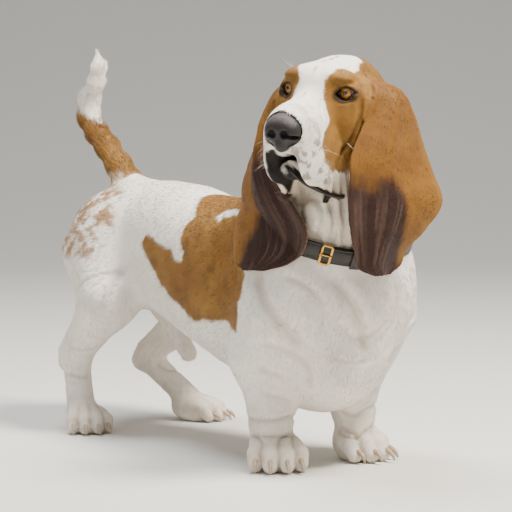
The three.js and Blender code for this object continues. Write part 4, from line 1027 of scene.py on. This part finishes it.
# Tufts: tapered three-sided locks, rooted in the skin and laid along the coat.
tuftSizes = {  # tufts, length and width in millimetres, lift and spread in degrees
    "trunk": (44000, 8.5, 0.75, 4, 7),
    "tail": (5000, 10, 0.8, 8, 10),
    "foreleg": (9000, 6, 0.7, 5, 9),
    "hindleg": (8500, 7, 0.7, 5, 9),
    "paw": (5500, 4, 0.65, 6, 12),
    "neck": (9000, 8, 0.8, 6, 11),
    "head": (17000, 4, 0.55, 5, 8),
    "earLeft": (12000, 5.5, 0.6, 3, 6),
    "earRight": (12000, 5.5, 0.6, 3, 6),
}
tailSpine = np.array([(0, y, z) for y, z, r in tailLine], float)


def lieOf(points, part, normals):
    n = len(points)
    lie = np.tile((0, 1, -0.4), (n, 1)).astype(float)
    x, y, z = points.T
    flank = smoothStep(340, 250, z)
    lie[:, 2] = -0.15 - 0.5 * flank
    front = smoothStep(20, -60, y)
    chestLie = np.stack([0.35 * np.sign(x), -0.1 + 0 * y, -1 + 0 * y], -1)
    lie = lie * (1 - front[:, None]) + chestLie * front[:, None]
    leg = (part == partOf["foreleg"]) | (part == partOf["hindleg"])
    lie[leg] = (0, 0.25, -1)
    for paw in paws:
        ahead = np.array(pawFrame(paw).to_3x3() @ Vector((0, -1, -0.35)))
        at = np.hypot(x - paw["at"][0], y - paw["at"][1]) < 75
        lie[(part == partOf["paw"]) & at] = ahead
    lie[part == partOf["neck"]] = (0, 0.3, -1)
    turn = np.array(headFrame.to_3x3())
    local = inFrame(headFrame.inverted(), points)
    drop = -0.25 - 0.9 * smoothStep(-10, -60, local[:, 2])
    back = np.stack([0.25 * np.sign(local[:, 0]), 1 + 0 * y, drop], -1)
    lie = np.where((part == partOf["head"])[:, None], back @ turn.T, lie)
    tail = np.flatnonzero(part == partOf["tail"])
    if len(tail):
        gaps = np.linalg.norm(points[tail][:, None] - tailSpine[None, :-1], axis=2)
        lie[tail] = (tailSpine[1:] - tailSpine[:-1])[gaps.argmin(1)]
    for word, name in (("left", "earLeft"), ("right", "earRight")):
        ear = np.flatnonzero(part == partOf[name])
        if len(ear):
            down, across, _ = earPlaces(points[ear], normals[ear], word)
            sheet = sheets[word]
            r = np.clip((down * (len(sheet) - 1)).astype(int), 0, len(sheet) - 3)
            c = (across * (sheet.shape[1] - 1)).astype(int)
            lie[ear] = unit(sheet[r + 2, c] - sheet[r, c])
    lie = unit(lie) + 0.22 * np.stack([cloud(points, 60, 101 + i) for i in range(3)], -1)
    return unit(lie - np.sum(lie * normals, axis=1, keepdims=True) * normals)


def tuftChart(points, normals, name):  # where a root lies on an unwrap of its own part of the skin
    x, y, z = points.T
    if name in ("earLeft", "earRight"):
        down, across, outer = earPlaces(points, normals, "left" if name == "earLeft" else "right")
        return np.stack([0.02 + 0.46 * across + np.where(outer, 0, 0.5), 0.02 + 0.95 * down], -1)
    if name == "head":
        p = inFrame(headFrame.inverted(), points)
        return np.stack([0.5 + np.arctan2(p[:, 0], p[:, 2] + 50) / 6.5, 0.03 + (p[:, 1] + 130) / 290], -1)
    if name == "tail":
        t = (z - 350 + np.clip(y - 430, 0, 90)) / 300
        behind = np.where(z < 470, y - 545 + (450 - z) * 0.9, 570 - y)
        return np.stack([0.5 + np.arctan2(x, behind) / 6.5, t], -1)
    if name in ("foreleg", "hindleg", "paw"):
        fore, left = y < 200, x > 0
        cx, cy = np.where(left, 75, -92), np.where(fore, -6, 430)
        quarter = np.where(fore, 0, 0.5) + np.where(left, 0, 0.25)
        height = 50 if name == "paw" else 210
        turn = np.arctan2(x - cx, y - cy) / 6.6 / 4
        return np.stack([quarter + 0.125 + turn, 0.02 + 0.95 * z / height], -1)
    if name == "neck":
        return np.stack([0.5 + np.arctan2(x, -y - 20) / 6.5, 0.02 + (z - 250) / 280], -1)
    return np.stack([0.5 + np.arctan2(x, z - 235) / 6.5, 0.03 + (y + 150) / 800], -1)


def growTufts(title, name, count, chosen):
    _, long, wide, lift, spread = tuftSizes[name]
    faces = skinFaces[chosen]
    corner = [skinPoints[faces[:, k]] for k in range(4)]
    area = np.linalg.norm(np.cross(corner[2] - corner[0], corner[3] - corner[1]), axis=1)
    pick = dice.choice(len(faces), count, p=area / area.sum())
    u, v = dice.random((count, 2)).T
    blend = np.stack([(1 - u) * (1 - v), u * (1 - v), u * v, (1 - u) * v], -1)
    take = lambda table: np.einsum("nk,nkc->nc", blend, table[faces[pick]])
    root, normal, colour = take(skinPoints), unit(take(skinNormals)), take(skinColours)
    lie = lieOf(root, np.full(count, partOf[name]), normal)
    cross = np.cross(normal, lie)
    yaw = np.radians(dice.normal(0, spread, count))[:, None]
    lie = lie * np.cos(yaw) + cross * np.sin(yaw)
    cross = np.cross(normal, lie)
    size = long * dice.uniform(0.7, 1.25, count)[:, None]
    if name in ("earLeft", "earRight"):
        down, across, _ = earPlaces(root, normal, "left" if name == "earLeft" else "right")
        rim = np.minimum(np.minimum(across, 1 - across) / 0.09, (1 - down) / 0.05)
        size = size * np.clip(rim, 0.35, 1)[:, None]
    girth = wide * dice.uniform(0.75, 1.2, count)[:, None]
    rise = np.radians(lift * dice.uniform(0.6, 1.4, count))[:, None]
    start = root - normal * 0.5
    middle = start + lie * size * 0.5 + normal * (np.sin(rise) * size * 0.62 + 0.25)
    tip = start + lie * size + normal * (np.sin(rise) * size * 0.8 + 0.3)
    rings = []
    for centre, scale in ((start, 1.0), (middle, 0.72)):
        half = cross * girth * 0.5 * scale
        rings += [centre - half, centre + normal * girth * 0.34 * scale, centre + half]
    points = np.stack([*rings, tip], 1).reshape(-1, 3)
    points[:, 2] = np.maximum(points[:, 2], 0.1)
    shape = np.array([
        (0, 1, 4), (0, 4, 3), (1, 2, 5), (1, 5, 4), (2, 0, 3), (2, 3, 5), (3, 4, 6), (4, 5, 6), (5, 3, 6),
    ])
    tris = (shape[None] + 7 * np.arange(count)[:, None, None]).reshape(-1, 3)
    piece = makeMesh(title, points, tris, hairMaterial)
    tint = dice.normal(1, 0.045, count)[:, None] * np.ones((1, 3))
    tones = np.repeat(np.clip(colour * tint, 0.003, 1), 7, axis=0)
    tones[6::7] = np.clip(tones[6::7] * 1.06, 0, 1)
    paint(piece, "coatColour", tones)
    patch = np.array([(0, 0), (0.5, 0), (1, 0), (0.1, 0.5), (0.5, 0.5), (0.9, 0.5), (0.5, 1)]) * 0.003
    uv = tuftChart(root, normal, name)[:, None] + patch[None]
    layer = piece.data.uv_layers.new(name="OFBake")
    layer.data.foreach_set("uv", uv.reshape(-1, 2)[tris.ravel()].astype(np.float32).ravel())
    return piece


hairMaterial = tuftHair()
faceCentre = skinPoints[skinFaces].mean(1)
facePart = skinPart[skinFaces[:, 0]]
share = 1
for name, (count, *_) in tuftSizes.items():
    mine = facePart == partOf[name]
    if name == "trunk":
        cuts = {
            "fore_left": (faceCentre[:, 1] < 170) & (faceCentre[:, 0] > 0),
            "fore_right": (faceCentre[:, 1] < 170) & (faceCentre[:, 0] <= 0),
            "rear_left": (faceCentre[:, 1] >= 170) & (faceCentre[:, 0] > 0),
            "rear_right": (faceCentre[:, 1] >= 170) & (faceCentre[:, 0] <= 0),
        }
    else:
        cuts = {"": np.ones(len(mine), bool)}
    for word, where in cuts.items():
        chosen = np.flatnonzero(mine & where)
        title = ("coat_" + name + "_" + word).strip("_")
        growTufts(title, name, int(count * share / len(cuts)), chosen)
print("tufts grown")


# Eyes: amber irises round small pupils, under a clear wet surface.
eyeLook = {  # sizes in millimetres, gaze in degrees across and up
    "iris": 7.8, "pupil": 2.7, "bulge": 0.8, "gaze": (-5, 3),
    "amber": "#c58a30", "brown": "#7d4a17", "inner": "#8a5a20", "edge": "#22120a",
    "white": "#8d7568", "rim": "#6f4a3e", "black": "#050404",
}


def eyeSurface():
    # Living eye: a smooth wet cornea over the coloured iris, so it takes one sharp highlight.
    material, tree, shader = makeMaterial("eye_wet_cornea")
    colour = addNode(tree, "ShaderNodeAttribute", {"attribute_name": "eyeColour"})
    tree.links.new(colour.outputs["Color"], shader.inputs["Base Color"])
    setSockets(shader, Roughness=0.16, IOR=1.38, Coat_Weight=1.0, Coat_Roughness=0.02, Coat_IOR=1.45)
    return material


def makeEye(word, material):
    rows, columns = 90, 96
    polar = np.linspace(0, math.pi, rows)[:, None]
    around = np.linspace(0, 2 * math.pi, columns, endpoint=False)[None]
    r = eyeBall["radius"]
    aside, up = (math.radians(v) for v in eyeLook["gaze"])
    gaze = Matrix.Rotation(aside, 3, "Z") @ Matrix.Rotation(-up, 3, "X")
    x, z = r * np.sin(polar) * np.cos(around), r * np.sin(polar) * np.sin(around)
    y = -r * np.cos(polar) * np.ones_like(around)
    points = np.stack([x, y, z], -1).reshape(-1, 3)
    out = np.hypot(points[:, 0], points[:, 2])
    front = points[:, 1] < 0
    dome = np.where(front, np.clip(1 - (out / eyeLook["iris"]) ** 2, 0, 1), 0)
    points[:, 1] -= eyeLook["bulge"] * dome
    angle = np.arctan2(points[:, 2], points[:, 0])
    threads = noise(np.stack([np.cos(angle) * 9, np.sin(angle) * 9, out * 0.25], -1), 1, 7)
    ring = out / eyeLook["iris"]
    whole = (len(points), 1)
    amber = np.tile(linear(eyeLook["amber"]), whole)
    amber = mix(amber, linear(eyeLook["brown"]), np.clip(threads * 0.9, 0, 1))
    amber = mix(amber, linear(eyeLook["inner"]), smoothStep(0.55, 0.35, ring) * 0.5)
    amber = mix(amber, linear(eyeLook["edge"]), smoothStep(0.8, 1.0, ring))
    white = np.tile(linear(eyeLook["white"]), whole)
    white = mix(white, linear(eyeLook["rim"]), smoothStep(1.1, 1.5, ring))
    colour = np.where((ring < 1)[:, None], amber, white)
    pupil = smoothStep(eyeLook["pupil"] + 0.25, eyeLook["pupil"] - 0.15, out)
    colour = mix(colour, linear(eyeLook["black"]), np.where(front, pupil, 0))
    points = points @ np.array(gaze).T
    index = np.arange(rows * columns).reshape(rows, columns)
    shifted = np.roll(index, -1, axis=1)
    faces = np.stack([index[:-1], index[1:], shifted[1:], shifted[:-1]], -1).reshape(-1, 4)
    eye = makeMesh("eyeball_" + word, inFrame(eyes[word], points), faces, material)
    paint(eye, "eyeColour", colour)
    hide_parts("eye_" + word)


def tube(path, radii, sides=10, closed=False, flat=1.0, up=None):
    path = np.asarray(path, float)
    radii = np.broadcast_to(np.asarray(radii, float), len(path))
    along = np.roll(path, -1, 0) - np.roll(path, 1, 0) if closed else np.gradient(path, axis=0)
    along = unit(along)
    guide = np.array(up if up is not None else (0.31, 0.17, 0.93), float)
    across = unit(np.cross(along, guide))
    rise = np.cross(across, along)
    a = np.linspace(0, 2 * math.pi, sides, endpoint=False)
    ring = across[:, None] * np.cos(a)[None, :, None] + rise[:, None] * np.sin(a)[None, :, None] * flat
    points = (path[:, None] + ring * radii[:, None, None]).reshape(-1, 3)
    index = np.arange(len(path) * sides).reshape(len(path), sides)
    if closed:
        index = np.vstack([index, index[:1]])
    shifted = np.roll(index, -1, axis=1)
    faces = np.stack([index[:-1], shifted[:-1], shifted[1:], index[1:]], -1).reshape(-1, 4)
    if not closed:  # the ends close on their middles
        n = len(points)
        points = np.vstack([points, path[:1], path[-1:]])
        first, last = index[0], index[-1]
        start = np.stack([np.full(sides, n), np.roll(first, -1), first, first], -1)
        end = np.stack([np.full(sides, n + 1), last, np.roll(last, -1), np.roll(last, -1)], -1)
        faces = np.vstack([faces, start, end])
    return points, faces


def joined(pieces):
    points, faces, n = [], [], 0
    for p, f in pieces:
        points.append(p)
        faces.append(f + n)
        n += len(p)
    return np.vstack(points), np.vstack(faces)


def makeQuads(name, pieces, material, smooth=True):
    # A tube's end fans are quads with a doubled corner, so they are cut to triangles here.
    points, faces = joined(pieces)
    tris = np.vstack([faces[:, [0, 1, 2]], faces[:, [0, 2, 3]]])
    tris = tris[(tris[:, 1] != tris[:, 2]) & (tris[:, 0] != tris[:, 2]) & (tris[:, 0] != tris[:, 1])]
    return makeMesh(name, points, tris, material, smooth)


def wetSkin():
    # Bare black skin at lids and lips: thin, oily and wet, so nearly black with a soft shine.
    material, tree, shader = makeMaterial("bare_skin_wet_black")
    place = addNode(tree, "ShaderNodeTexCoord")
    grain = addNode(  # creases about 1.4 mm apart
        tree, "ShaderNodeTexNoise", {"Scale": 700, "Detail": 2}, {"Vector": place.outputs["Object"]}
    )
    bump = addNode(
        tree, "ShaderNodeBump", {"Strength": 0.3, "Distance": 0.0003}, {"Height": grain.outputs["Fac"]}
    )
    tree.links.new(bump.outputs["Normal"], shader.inputs["Normal"])
    shader.inputs["Base Color"].default_value = (*linear("#1c1412"), 1)
    setSockets(shader, Roughness=0.34, IOR=1.42, Specular_IOR_Level=0.5)
    return material


def pinkSkin():
    # The moist corner of the eye and of the lip: soft, pink and wet.
    material, _, shader = makeMaterial("membrane_moist_pink")
    shader.inputs["Base Color"].default_value = (*linear("#9c5a52"), 1)
    setSockets(shader, Roughness=0.25, IOR=1.4, Subsurface_Weight=0.15, Subsurface_Scale=0.002)
    return material


def lidRims(material, pink):
    rims, corners = [], []
    for side, word in ((1, "left"), (-1, "right")):
        a = np.linspace(0, 2 * math.pi, 72, endpoint=False)
        x = lid["wide"] / 2 * np.cos(a)
        z = np.where(np.sin(a) > 0, openingHeight(x, True), -openingHeight(x, False))
        r = eyeBall["radius"] + 1.15
        y = -np.sqrt(np.maximum(r * r - np.minimum((x * 0.93) ** 2 + z * z, r * r * 0.93), 0))
        path = inFrame(eyes[word], np.stack([x, y, z], -1))
        rims.append(tube(path, 1.35, 10, True))
        corner = [(-side * 12.2, -5.2, -0.6), (-side * 10.6, -7.6, -1.2), (-side * 8.8, -9.3, -1.9)]
        corners.append(tube(inFrame(eyes[word], corner), [1.1, 1.7, 0.7], 10))
    makeQuads("lid_rims", rims, material)
    makeQuads("eye_corners", corners, pink)
    lip = inFrame(headFrame, softLine(lipEdge[2:]))
    lipEnd = inFrame(headFrame, softLine([(39, 2, -133), (39.5, 7, -132), (39, 11, -130)]))
    lipThick = np.interp(np.linspace(0, 1, len(lip)), [0, 0.3, 1], [1.4, 3.0, 2.6])
    makeQuads("lip_edge", [tube(lip, lipThick, 10)], material)
    endThick = [1.2] + [2.3] * (len(lipEnd) - 2) + [0.8]
    makeQuads("lip_corner", [tube(lipEnd, endThick, 10)], pink)


def noseLeather():
    # Nose leather: hairless skin in fine pebbles, near black, with a moist grey sheen on top painted into
    # its colour.
    material, tree, shader = makeMaterial("nose_leather_pebbled")
    place = addNode(tree, "ShaderNodeTexCoord")
    pebbles = addNode(  # pebbles about 1.3 mm apart
        tree, "ShaderNodeTexVoronoi", {"feature": "DISTANCE_TO_EDGE", "Scale": 1000 / 1.3},
        {"Vector": place.outputs["Object"]},
    )
    raised = addNode(tree, "ShaderNodeMapRange", {"From Max": 0.25}, {"Value": pebbles.outputs["Distance"]})
    bump = addNode(
        tree, "ShaderNodeBump", {"Strength": 0.5, "Distance": 0.00035}, {"Height": raised.outputs["Result"]}
    )
    colour = addNode(tree, "ShaderNodeAttribute", {"attribute_name": "noseColour"})
    tree.links.new(colour.outputs["Color"], shader.inputs["Base Color"])
    tree.links.new(bump.outputs["Normal"], shader.inputs["Normal"])
    setSockets(shader, Roughness=0.38, IOR=1.42, Sheen_Weight=0.1, Specular_IOR_Level=0.5)
    return material


noseLook = {"leather": "#1d1716", "paintedSheen": "#4a4145", "nostrilShade": "#070505"}


def makeNose(material):
    cell = 0.7
    middle = np.array(headFrame @ Vector((0, -100, -38)))
    d, first = gridField(noseForms, middle - 36, middle + 36, cell)
    points, faces = surfaceOf(d, first, cell, 0)
    local = inFrame(headFrame.inverted(), points)
    oneSide = np.abs(local) * (1, 0, 0) + local * (0, 1, 1)
    nostril = np.linalg.norm((oneSide - (9.5, -114, -37)) / (1.2, 1.6, 1.1), axis=1)
    slit = np.linalg.norm((oneSide - (18, -107, -41.5)) / (1.6, 1.6, 0.6), axis=1)
    colour = np.tile(linear(noseLook["leather"]), (len(points), 1))
    # Painted sheen: the top of the nose is coloured lighter grey, where light falls on the wet leather.
    colour = mix(colour, linear(noseLook["paintedSheen"]), smoothStep(-30, -16, local[:, 2]) * 0.75)
    # Painted shade: the nostrils and the slits behind them are coloured near black, where shade falls
    # inside them.
    colour = mix(colour, linear(noseLook["nostrilShade"]), smoothStep(6.5, 4, nostril))
    colour = mix(colour, linear(noseLook["nostrilShade"]), smoothStep(4.5, 2.5, slit))
    nose = makeMesh("nose_leather", points, faces, material)
    paint(nose, "noseColour", colour)
    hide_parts("nose")


def hornClaw():
    # Claw horn: pale, faintly streaked keratin with a worn satin face.
    material, tree, shader = makeMaterial("claw_horn_worn")
    place = addNode(tree, "ShaderNodeTexCoord")
    streaks = addNode(  # streaks about 2.4 mm apart
        tree, "ShaderNodeTexNoise", {"Scale": 420, "Detail": 3}, {"Vector": place.outputs["Object"]}
    )
    ramp = addNode(tree, "ShaderNodeMix", {"data_type": "RGBA"}, {"Factor": streaks.outputs["Fac"]})
    ramp.inputs[6].default_value = (*linear("#8a7763"), 1)
    ramp.inputs[7].default_value = (*linear("#c2b096"), 1)
    tree.links.new(ramp.outputs[2], shader.inputs["Base Color"])
    setSockets(shader, Roughness=0.38, IOR=1.54)
    return material


def makeClaws(material):
    for paw in paws:
        claws = []
        for x, y in toes:
            t = np.linspace(0, 1, 12)[:, None]
            root = np.array((x * 1.03, y - 8, 16.0))
            bend = root + (x * 0.06, -15, 1)
            tip = root + (x * 0.08, -19, -12)
            path = root * (1 - t) ** 2 + 2 * bend * t * (1 - t) + tip * t * t
            radii = 3.9 * paw["size"] * np.sqrt(1 - 0.93 * t[:, 0])
            path = inFrame(pawFrame(paw), path)
            points, faces = tube(path, radii, 12, flat=1.1)
            points[:, 2] = np.maximum(points[:, 2], 0.3)
            claws.append((points, faces))
        makeQuads("claws_" + paw["name"], claws, material)


# The collar: a black bridle-leather strap, with a pressed edge line, stitches, a keeper and a brass buckle.
strap = {  # millimetres, with the buckle's place in degrees and the keeper's in steps past it
    "wide": 25, "thick": 3.2, "sides": 160, "buckleTurn": 244, "tongue": 58, "stitch": 5.2,
    "keeper": (7, 11),
}


def bridleLeather():
    # Bridle leather: dyed black, waxed and worn, so its shine is broad with finer creases in it.
    material, tree, shader = makeMaterial("bridle_leather_black_waxed")
    place = addNode(tree, "ShaderNodeTexCoord")
    grain = addNode(  # leather grain about 0.9 mm across
        tree, "ShaderNodeTexVoronoi", {"Scale": 1000 / 0.9}, {"Vector": place.outputs["Object"]}
    )
    wear = addNode(  # wear in patches of about 17 mm
        tree, "ShaderNodeTexNoise", {"Scale": 60, "Detail": 4}, {"Vector": place.outputs["Object"]}
    )
    shine = addNode(
        tree, "ShaderNodeMapRange", {"To Min": 0.36, "To Max": 0.62}, {"Value": wear.outputs["Fac"]}
    )
    bump = addNode(
        tree, "ShaderNodeBump", {"Strength": 0.3, "Distance": 0.0002}, {"Height": grain.outputs["Distance"]}
    )
    shader.inputs["Base Color"].default_value = (*linear("#17130f"), 1)
    tree.links.new(shine.outputs["Result"], shader.inputs["Roughness"])
    tree.links.new(bump.outputs["Normal"], shader.inputs["Normal"])
    setSockets(shader, IOR=1.5)
    return material


def waxedThread():
    # Waxed linen thread: dull, dark and slightly paler than the strap.
    material, _, shader = makeMaterial("linen_thread_waxed")
    shader.inputs["Base Color"].default_value = (*linear("#3a332b"), 1)
    setSockets(shader, Roughness=0.7, IOR=1.5)
    return material


def castBrass():
    # Cast and tumbled brass: warm yellow metal with soft scratches and duller hollows.
    material, tree, shader = makeMaterial("brass_cast_tumbled")
    place = addNode(tree, "ShaderNodeTexCoord")
    wear = addNode(  # scuffs about 2 mm across
        tree, "ShaderNodeTexNoise", {"Scale": 500, "Detail": 4}, {"Vector": place.outputs["Object"]}
    )
    shine = addNode(
        tree, "ShaderNodeMapRange", {"To Min": 0.18, "To Max": 0.42}, {"Value": wear.outputs["Fac"]}
    )
    tree.links.new(shine.outputs["Result"], shader.inputs["Roughness"])
    shader.inputs["Base Color"].default_value = (*linear("#c9a04c"), 1)
    setSockets(shader, Metallic=1.0)
    return material


def collarRing():
    side = np.array((1.0, 0, 0))
    ahead = np.cross(collarUp, side)
    a = np.linspace(0, 2 * math.pi, strap["sides"], endpoint=False)
    out = np.cos(a)[:, None] * side + np.sin(a)[:, None] * ahead
    radius = np.full(len(a), 150.0)
    neckForms = trunkForms()
    for _ in range(60):
        rim = collarPlane["at"] + out * radius[:, None]
        gap = np.min([fieldAt(neckForms, rim + collarUp * u) for u in (-9, 0, 9)], 0)
        radius -= np.clip(gap, 0, 6) * 0.7
    for _ in range(6):
        radius = (np.roll(radius, 1) + radius * 2 + np.roll(radius, -1)) / 4
    return out, radius


def strapBand(out, radius, wide, thick, start=None, end=None, lift=0.0):
    half, t = wide / 2, thick
    profile = np.array([  # across the strap and outwards, with rounded edges and a pressed line
        (-half + 1, 0), (-half, 0.8), (-half, t - 0.9), (-half + 0.9, t), (-half + 2.2, t),
        (-half + 2.6, t - 0.35), (-half + 3, t), (0, t + 0.25), (half - 3, t), (half - 2.6, t - 0.35),
        (half - 2.2, t), (half - 0.9, t), (half, t - 0.9), (half, 0.8), (half - 1, 0),
    ])
    ids = np.arange(len(out)) if start is None else np.arange(start, end) % len(out)
    centre = collarPlane["at"] + out[ids] * (radius[ids, None] - 0.6 + lift)
    points = centre[:, None] + collarUp * profile[None, :, :1] + out[ids][:, None] * profile[None, :, 1:]
    index = np.arange(len(ids) * len(profile)).reshape(len(ids), -1)
    if start is None:
        index = np.vstack([index, index[:1]])
    shifted = np.roll(index, -1, axis=1)
    faces = np.stack([index[:-1], index[1:], shifted[1:], shifted[:-1]], -1).reshape(-1, 4)
    return points.reshape(-1, 3), faces


def makeCollar(leather, thread, brass):
    out, radius = collarRing()
    n = strap["sides"]
    girth = 2 * math.pi * radius.mean()
    at = int(strap["buckleTurn"] / 360 * n)
    tongueEnd = at + int(strap["tongue"] / girth * n)
    pieces = [strapBand(out, radius, strap["wide"], strap["thick"])]
    pieces.append(strapBand(out, radius, strap["wide"] - 2, 2.4, at - 1, tongueEnd, strap["thick"] - 0.3))
    first, last = (at + step for step in strap["keeper"])
    pieces.append(strapBand(out, radius, strap["wide"] + 3.5, 1.8, first, last, strap["thick"] + 2.2))
    collar = makeQuads("collar_strap", pieces, leather)
    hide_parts("collar")
    stitches = []
    for k in range(int(girth / strap["stitch"])):
        i = k * strap["stitch"] / girth * n
        if at - 3 <= i <= tongueEnd + 1:
            continue
        for edge in (-1, 1):
            ends = []
            for f in (-0.3, 0, 0.3):
                j = (i + f * strap["stitch"] / girth * n) % n
                low, frac = int(j), j % 1
                o = unit(out[low] * (1 - frac) + out[(low + 1) % n] * frac)
                r = radius[low] * (1 - frac) + radius[(low + 1) % n] * frac
                height = r - 0.6 + strap["thick"] + (0.15 if f == 0 else -0.15)
                ends.append(collarPlane["at"] + o * height + collarUp * edge * (strap["wide"] / 2 - 4.6))
            stitches.append(tube(ends, [0.4, 0.55, 0.4], 6))
    makeQuads("collar_stitches", stitches, thread)
    frameAt = collarPlane["at"] + out[at] * (radius[at] + strap["thick"] + 1.4)
    along = unit(out[(at + 1) % n] * radius[(at + 1) % n] - out[at - 1] * radius[at - 1])
    corner, high, long = 3, 13, 6.4
    path = []
    for cx, cz, a0 in ((1, 1, 0), (-1, 1, 90), (-1, -1, 180), (1, -1, 270)):
        for a in np.radians(np.linspace(a0, a0 + 90, 8)):
            bend = corner * math.cos(a), corner * math.sin(a)
            path.append((cx * (long - corner) + bend[0], cz * (high - corner) + bend[1]))
    path = np.array([frameAt + along * u + collarUp * w for u, w in path])
    loop = tube(path, 1.9, 12, True, up=out[at])
    prongLine = ((-6.8, 1.4), (-3, 1.8), (2, 1.9), (6.6, 2.2), (8, 1.6))
    prong = [frameAt + along * u + out[at] * w for u, w in prongLine]
    hinge = [frameAt + along * -6.4 + collarUp * u for u in (-2.4, 0, 2.4)]
    metal = [loop, tube(prong, [1.5, 1.4, 1.3, 1.3, 0.9], 10), tube(hinge, 2.5, 12)]
    buckle = makeQuads("brass_buckle", metal, brass)
    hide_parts("buckle")


def whiskerHair():
    # Whiskers: stiff translucent hairs, pale and shiny.
    material, _, shader = makeMaterial("whisker_stiff_hair")
    shader.inputs["Base Color"].default_value = (*linear("#d8cfc2"), 1)
    setSockets(shader, Roughness=0.35, IOR=1.55)
    return material


def makeWhiskers(material):
    hairs = []
    rootAt = [
        (side * (20 + 2.4 * c + dice.normal(0, 0.8)), -86 + 9 * c + dice.normal(0, 1.2), -52 - 8.5 * r)
        for side in (1, -1) for r in range(4) for c in range(4)
    ]
    for x, y, z in ((33, -4, 27), (37, 0, 26), (50, -20, -60)):  # over the eyes and on the cheeks
        rootAt += [(x, y, z), (-x, y, z)]
    turn = np.array(headFrame.to_3x3())
    for start in rootAt:
        side = np.sign(start[0])
        brow = start[2] > 0
        way = np.array((side * 0.8, -0.5, 1.0) if brow else (side * 0.8, -0.25, -0.35))
        way = way + dice.normal(0, 0.12, 3)
        long = dice.uniform(24, 38) if not brow else 26
        t = np.linspace(0, 1, 9)[:, None]
        path = start + unit(way) * long * t + np.array((0, 0.35, -0.25)) * long * t * t
        path = path @ turn.T + np.array(headFrame.translation)
        hairs.append(tube(path, 0.32 * (1.02 - np.linspace(0, 1, 9)), 5))
    makeQuads("whiskers", hairs, material)


black, pink = wetSkin(), pinkSkin()
eyeMaterial = eyeSurface()
for word in eyes:
    makeEye(word, eyeMaterial)
lidRims(black, pink)
makeNose(noseLeather())
makeClaws(hornClaw())
makeCollar(bridleLeather(), waxedThread(), castBrass())
makeWhiskers(whiskerHair())
print("eyes, nose, claws, collar and whiskers made")


# The photo's view: a long lens low on the dog's right front, and a pale floor under soft light.
lens = {  # focal length and drop are in the picture's pixels, turn in degrees, the rest in metres
    "focal": 2518, "picture": 512, "drop": 196, "turn": 34.3,
    "height": 0.537, "aside": 0.079, "away": 3.343,
}
sensorWide = 36
theta = math.radians(lens["turn"])
pitch = math.atan2(lens["drop"], lens["focal"])
right = Vector((math.cos(theta), -math.sin(theta), 0))
level = Vector((math.sin(theta), math.cos(theta), 0))
ahead = level * math.cos(pitch) - Vector((0, 0, math.sin(pitch)))
upward = level * math.sin(pitch) + Vector((0, 0, math.cos(pitch)))
cameraAt = shift * 0.001 - level * lens["away"] - right * lens["aside"] + Vector((0, 0, lens["height"]))
cameraData = bpy.data.cameras.new("photo_view")
cameraData.sensor_width = sensorWide
cameraData.lens = sensorWide * lens["focal"] / lens["picture"]
camera = bpy.data.objects.new("photo_view", cameraData)
bpy.context.scene.collection.objects.link(camera)
camera.matrix_world = Matrix((
    (right.x, upward.x, -ahead.x, cameraAt.x),
    (right.y, upward.y, -ahead.y, cameraAt.y),
    (right.z, upward.z, -ahead.z, cameraAt.z),
    (0, 0, 0, 1),
))
bpy.context.scene.camera = camera


def studioFloor():
    # Matt painted studio floor, curved up into its wall: pale and even, so colours stay true.
    material, _, shader = makeMaterial("studio_floor_matt_paint")
    shader.inputs["Base Color"].default_value = (*linear("#dcdad5"), 1)
    setSockets(shader, Roughness=0.9, Specular_IOR_Level=0.2)
    run = [(-9, 0), (3, 0)]  # away from the camera, and up
    run += [(3 + 3 * math.sin(a), 3 - 3 * math.cos(a)) for a in np.radians(np.arange(5, 91, 5))] + [(6, 9)]
    points = []
    for away, up in run:
        for aside in (-12, 12):
            points.append(tuple(level * away + right * aside + Vector((0, 0, up))))
    faces = [(2 * i, 2 * i + 1, 2 * i + 3, 2 * i + 2) for i in range(len(run) - 1)]
    mesh = bpy.data.meshes.new("studio_floor")
    mesh.from_pydata(points, [], faces)
    mesh.materials.append(material)
    mesh.polygons.foreach_set("use_smooth", [True] * len(faces))
    floor = bpy.data.objects.new("studio_floor", mesh)
    bpy.context.scene.collection.objects.link(floor)
    return floor


def softLamp(name, where, target, size, power, tint="#ffffff"):
    data = bpy.data.lights.new(name, "AREA")
    data.shape = "DISK"
    data.size = size
    data.energy = power
    data.color = linear(tint)
    lamp = bpy.data.objects.new(name, data)
    lamp.location = where
    lamp.rotation_euler = (Vector(target) - Vector(where)).to_track_quat("-Z", "Y").to_euler()
    bpy.context.scene.collection.objects.link(lamp)
    return lamp


centre = (0, 0, 0.3)
lamps = [
    softLamp("key_light", cameraAt * 0.6 + Vector((1.7, 0.5, 2.3)), centre, 0.9, 195, "#fff6ea"),
    softLamp("fill_light", (-2.6, -1.2, 1.4), centre, 2.2, 16, "#eef4ff"),
    softLamp("top_light", (-0.3, 0.6, 3.0), centre, 1.4, 95, "#ffffff"),
]
world = bpy.data.worlds.new("studio_air")
world.use_nodes = True
world.node_tree.nodes["Background"].inputs["Color"].default_value = (*linear("#dfe3e6"), 1)
world.node_tree.nodes["Background"].inputs["Strength"].default_value = 0.36
bpy.context.scene.world = world
studioFloor()
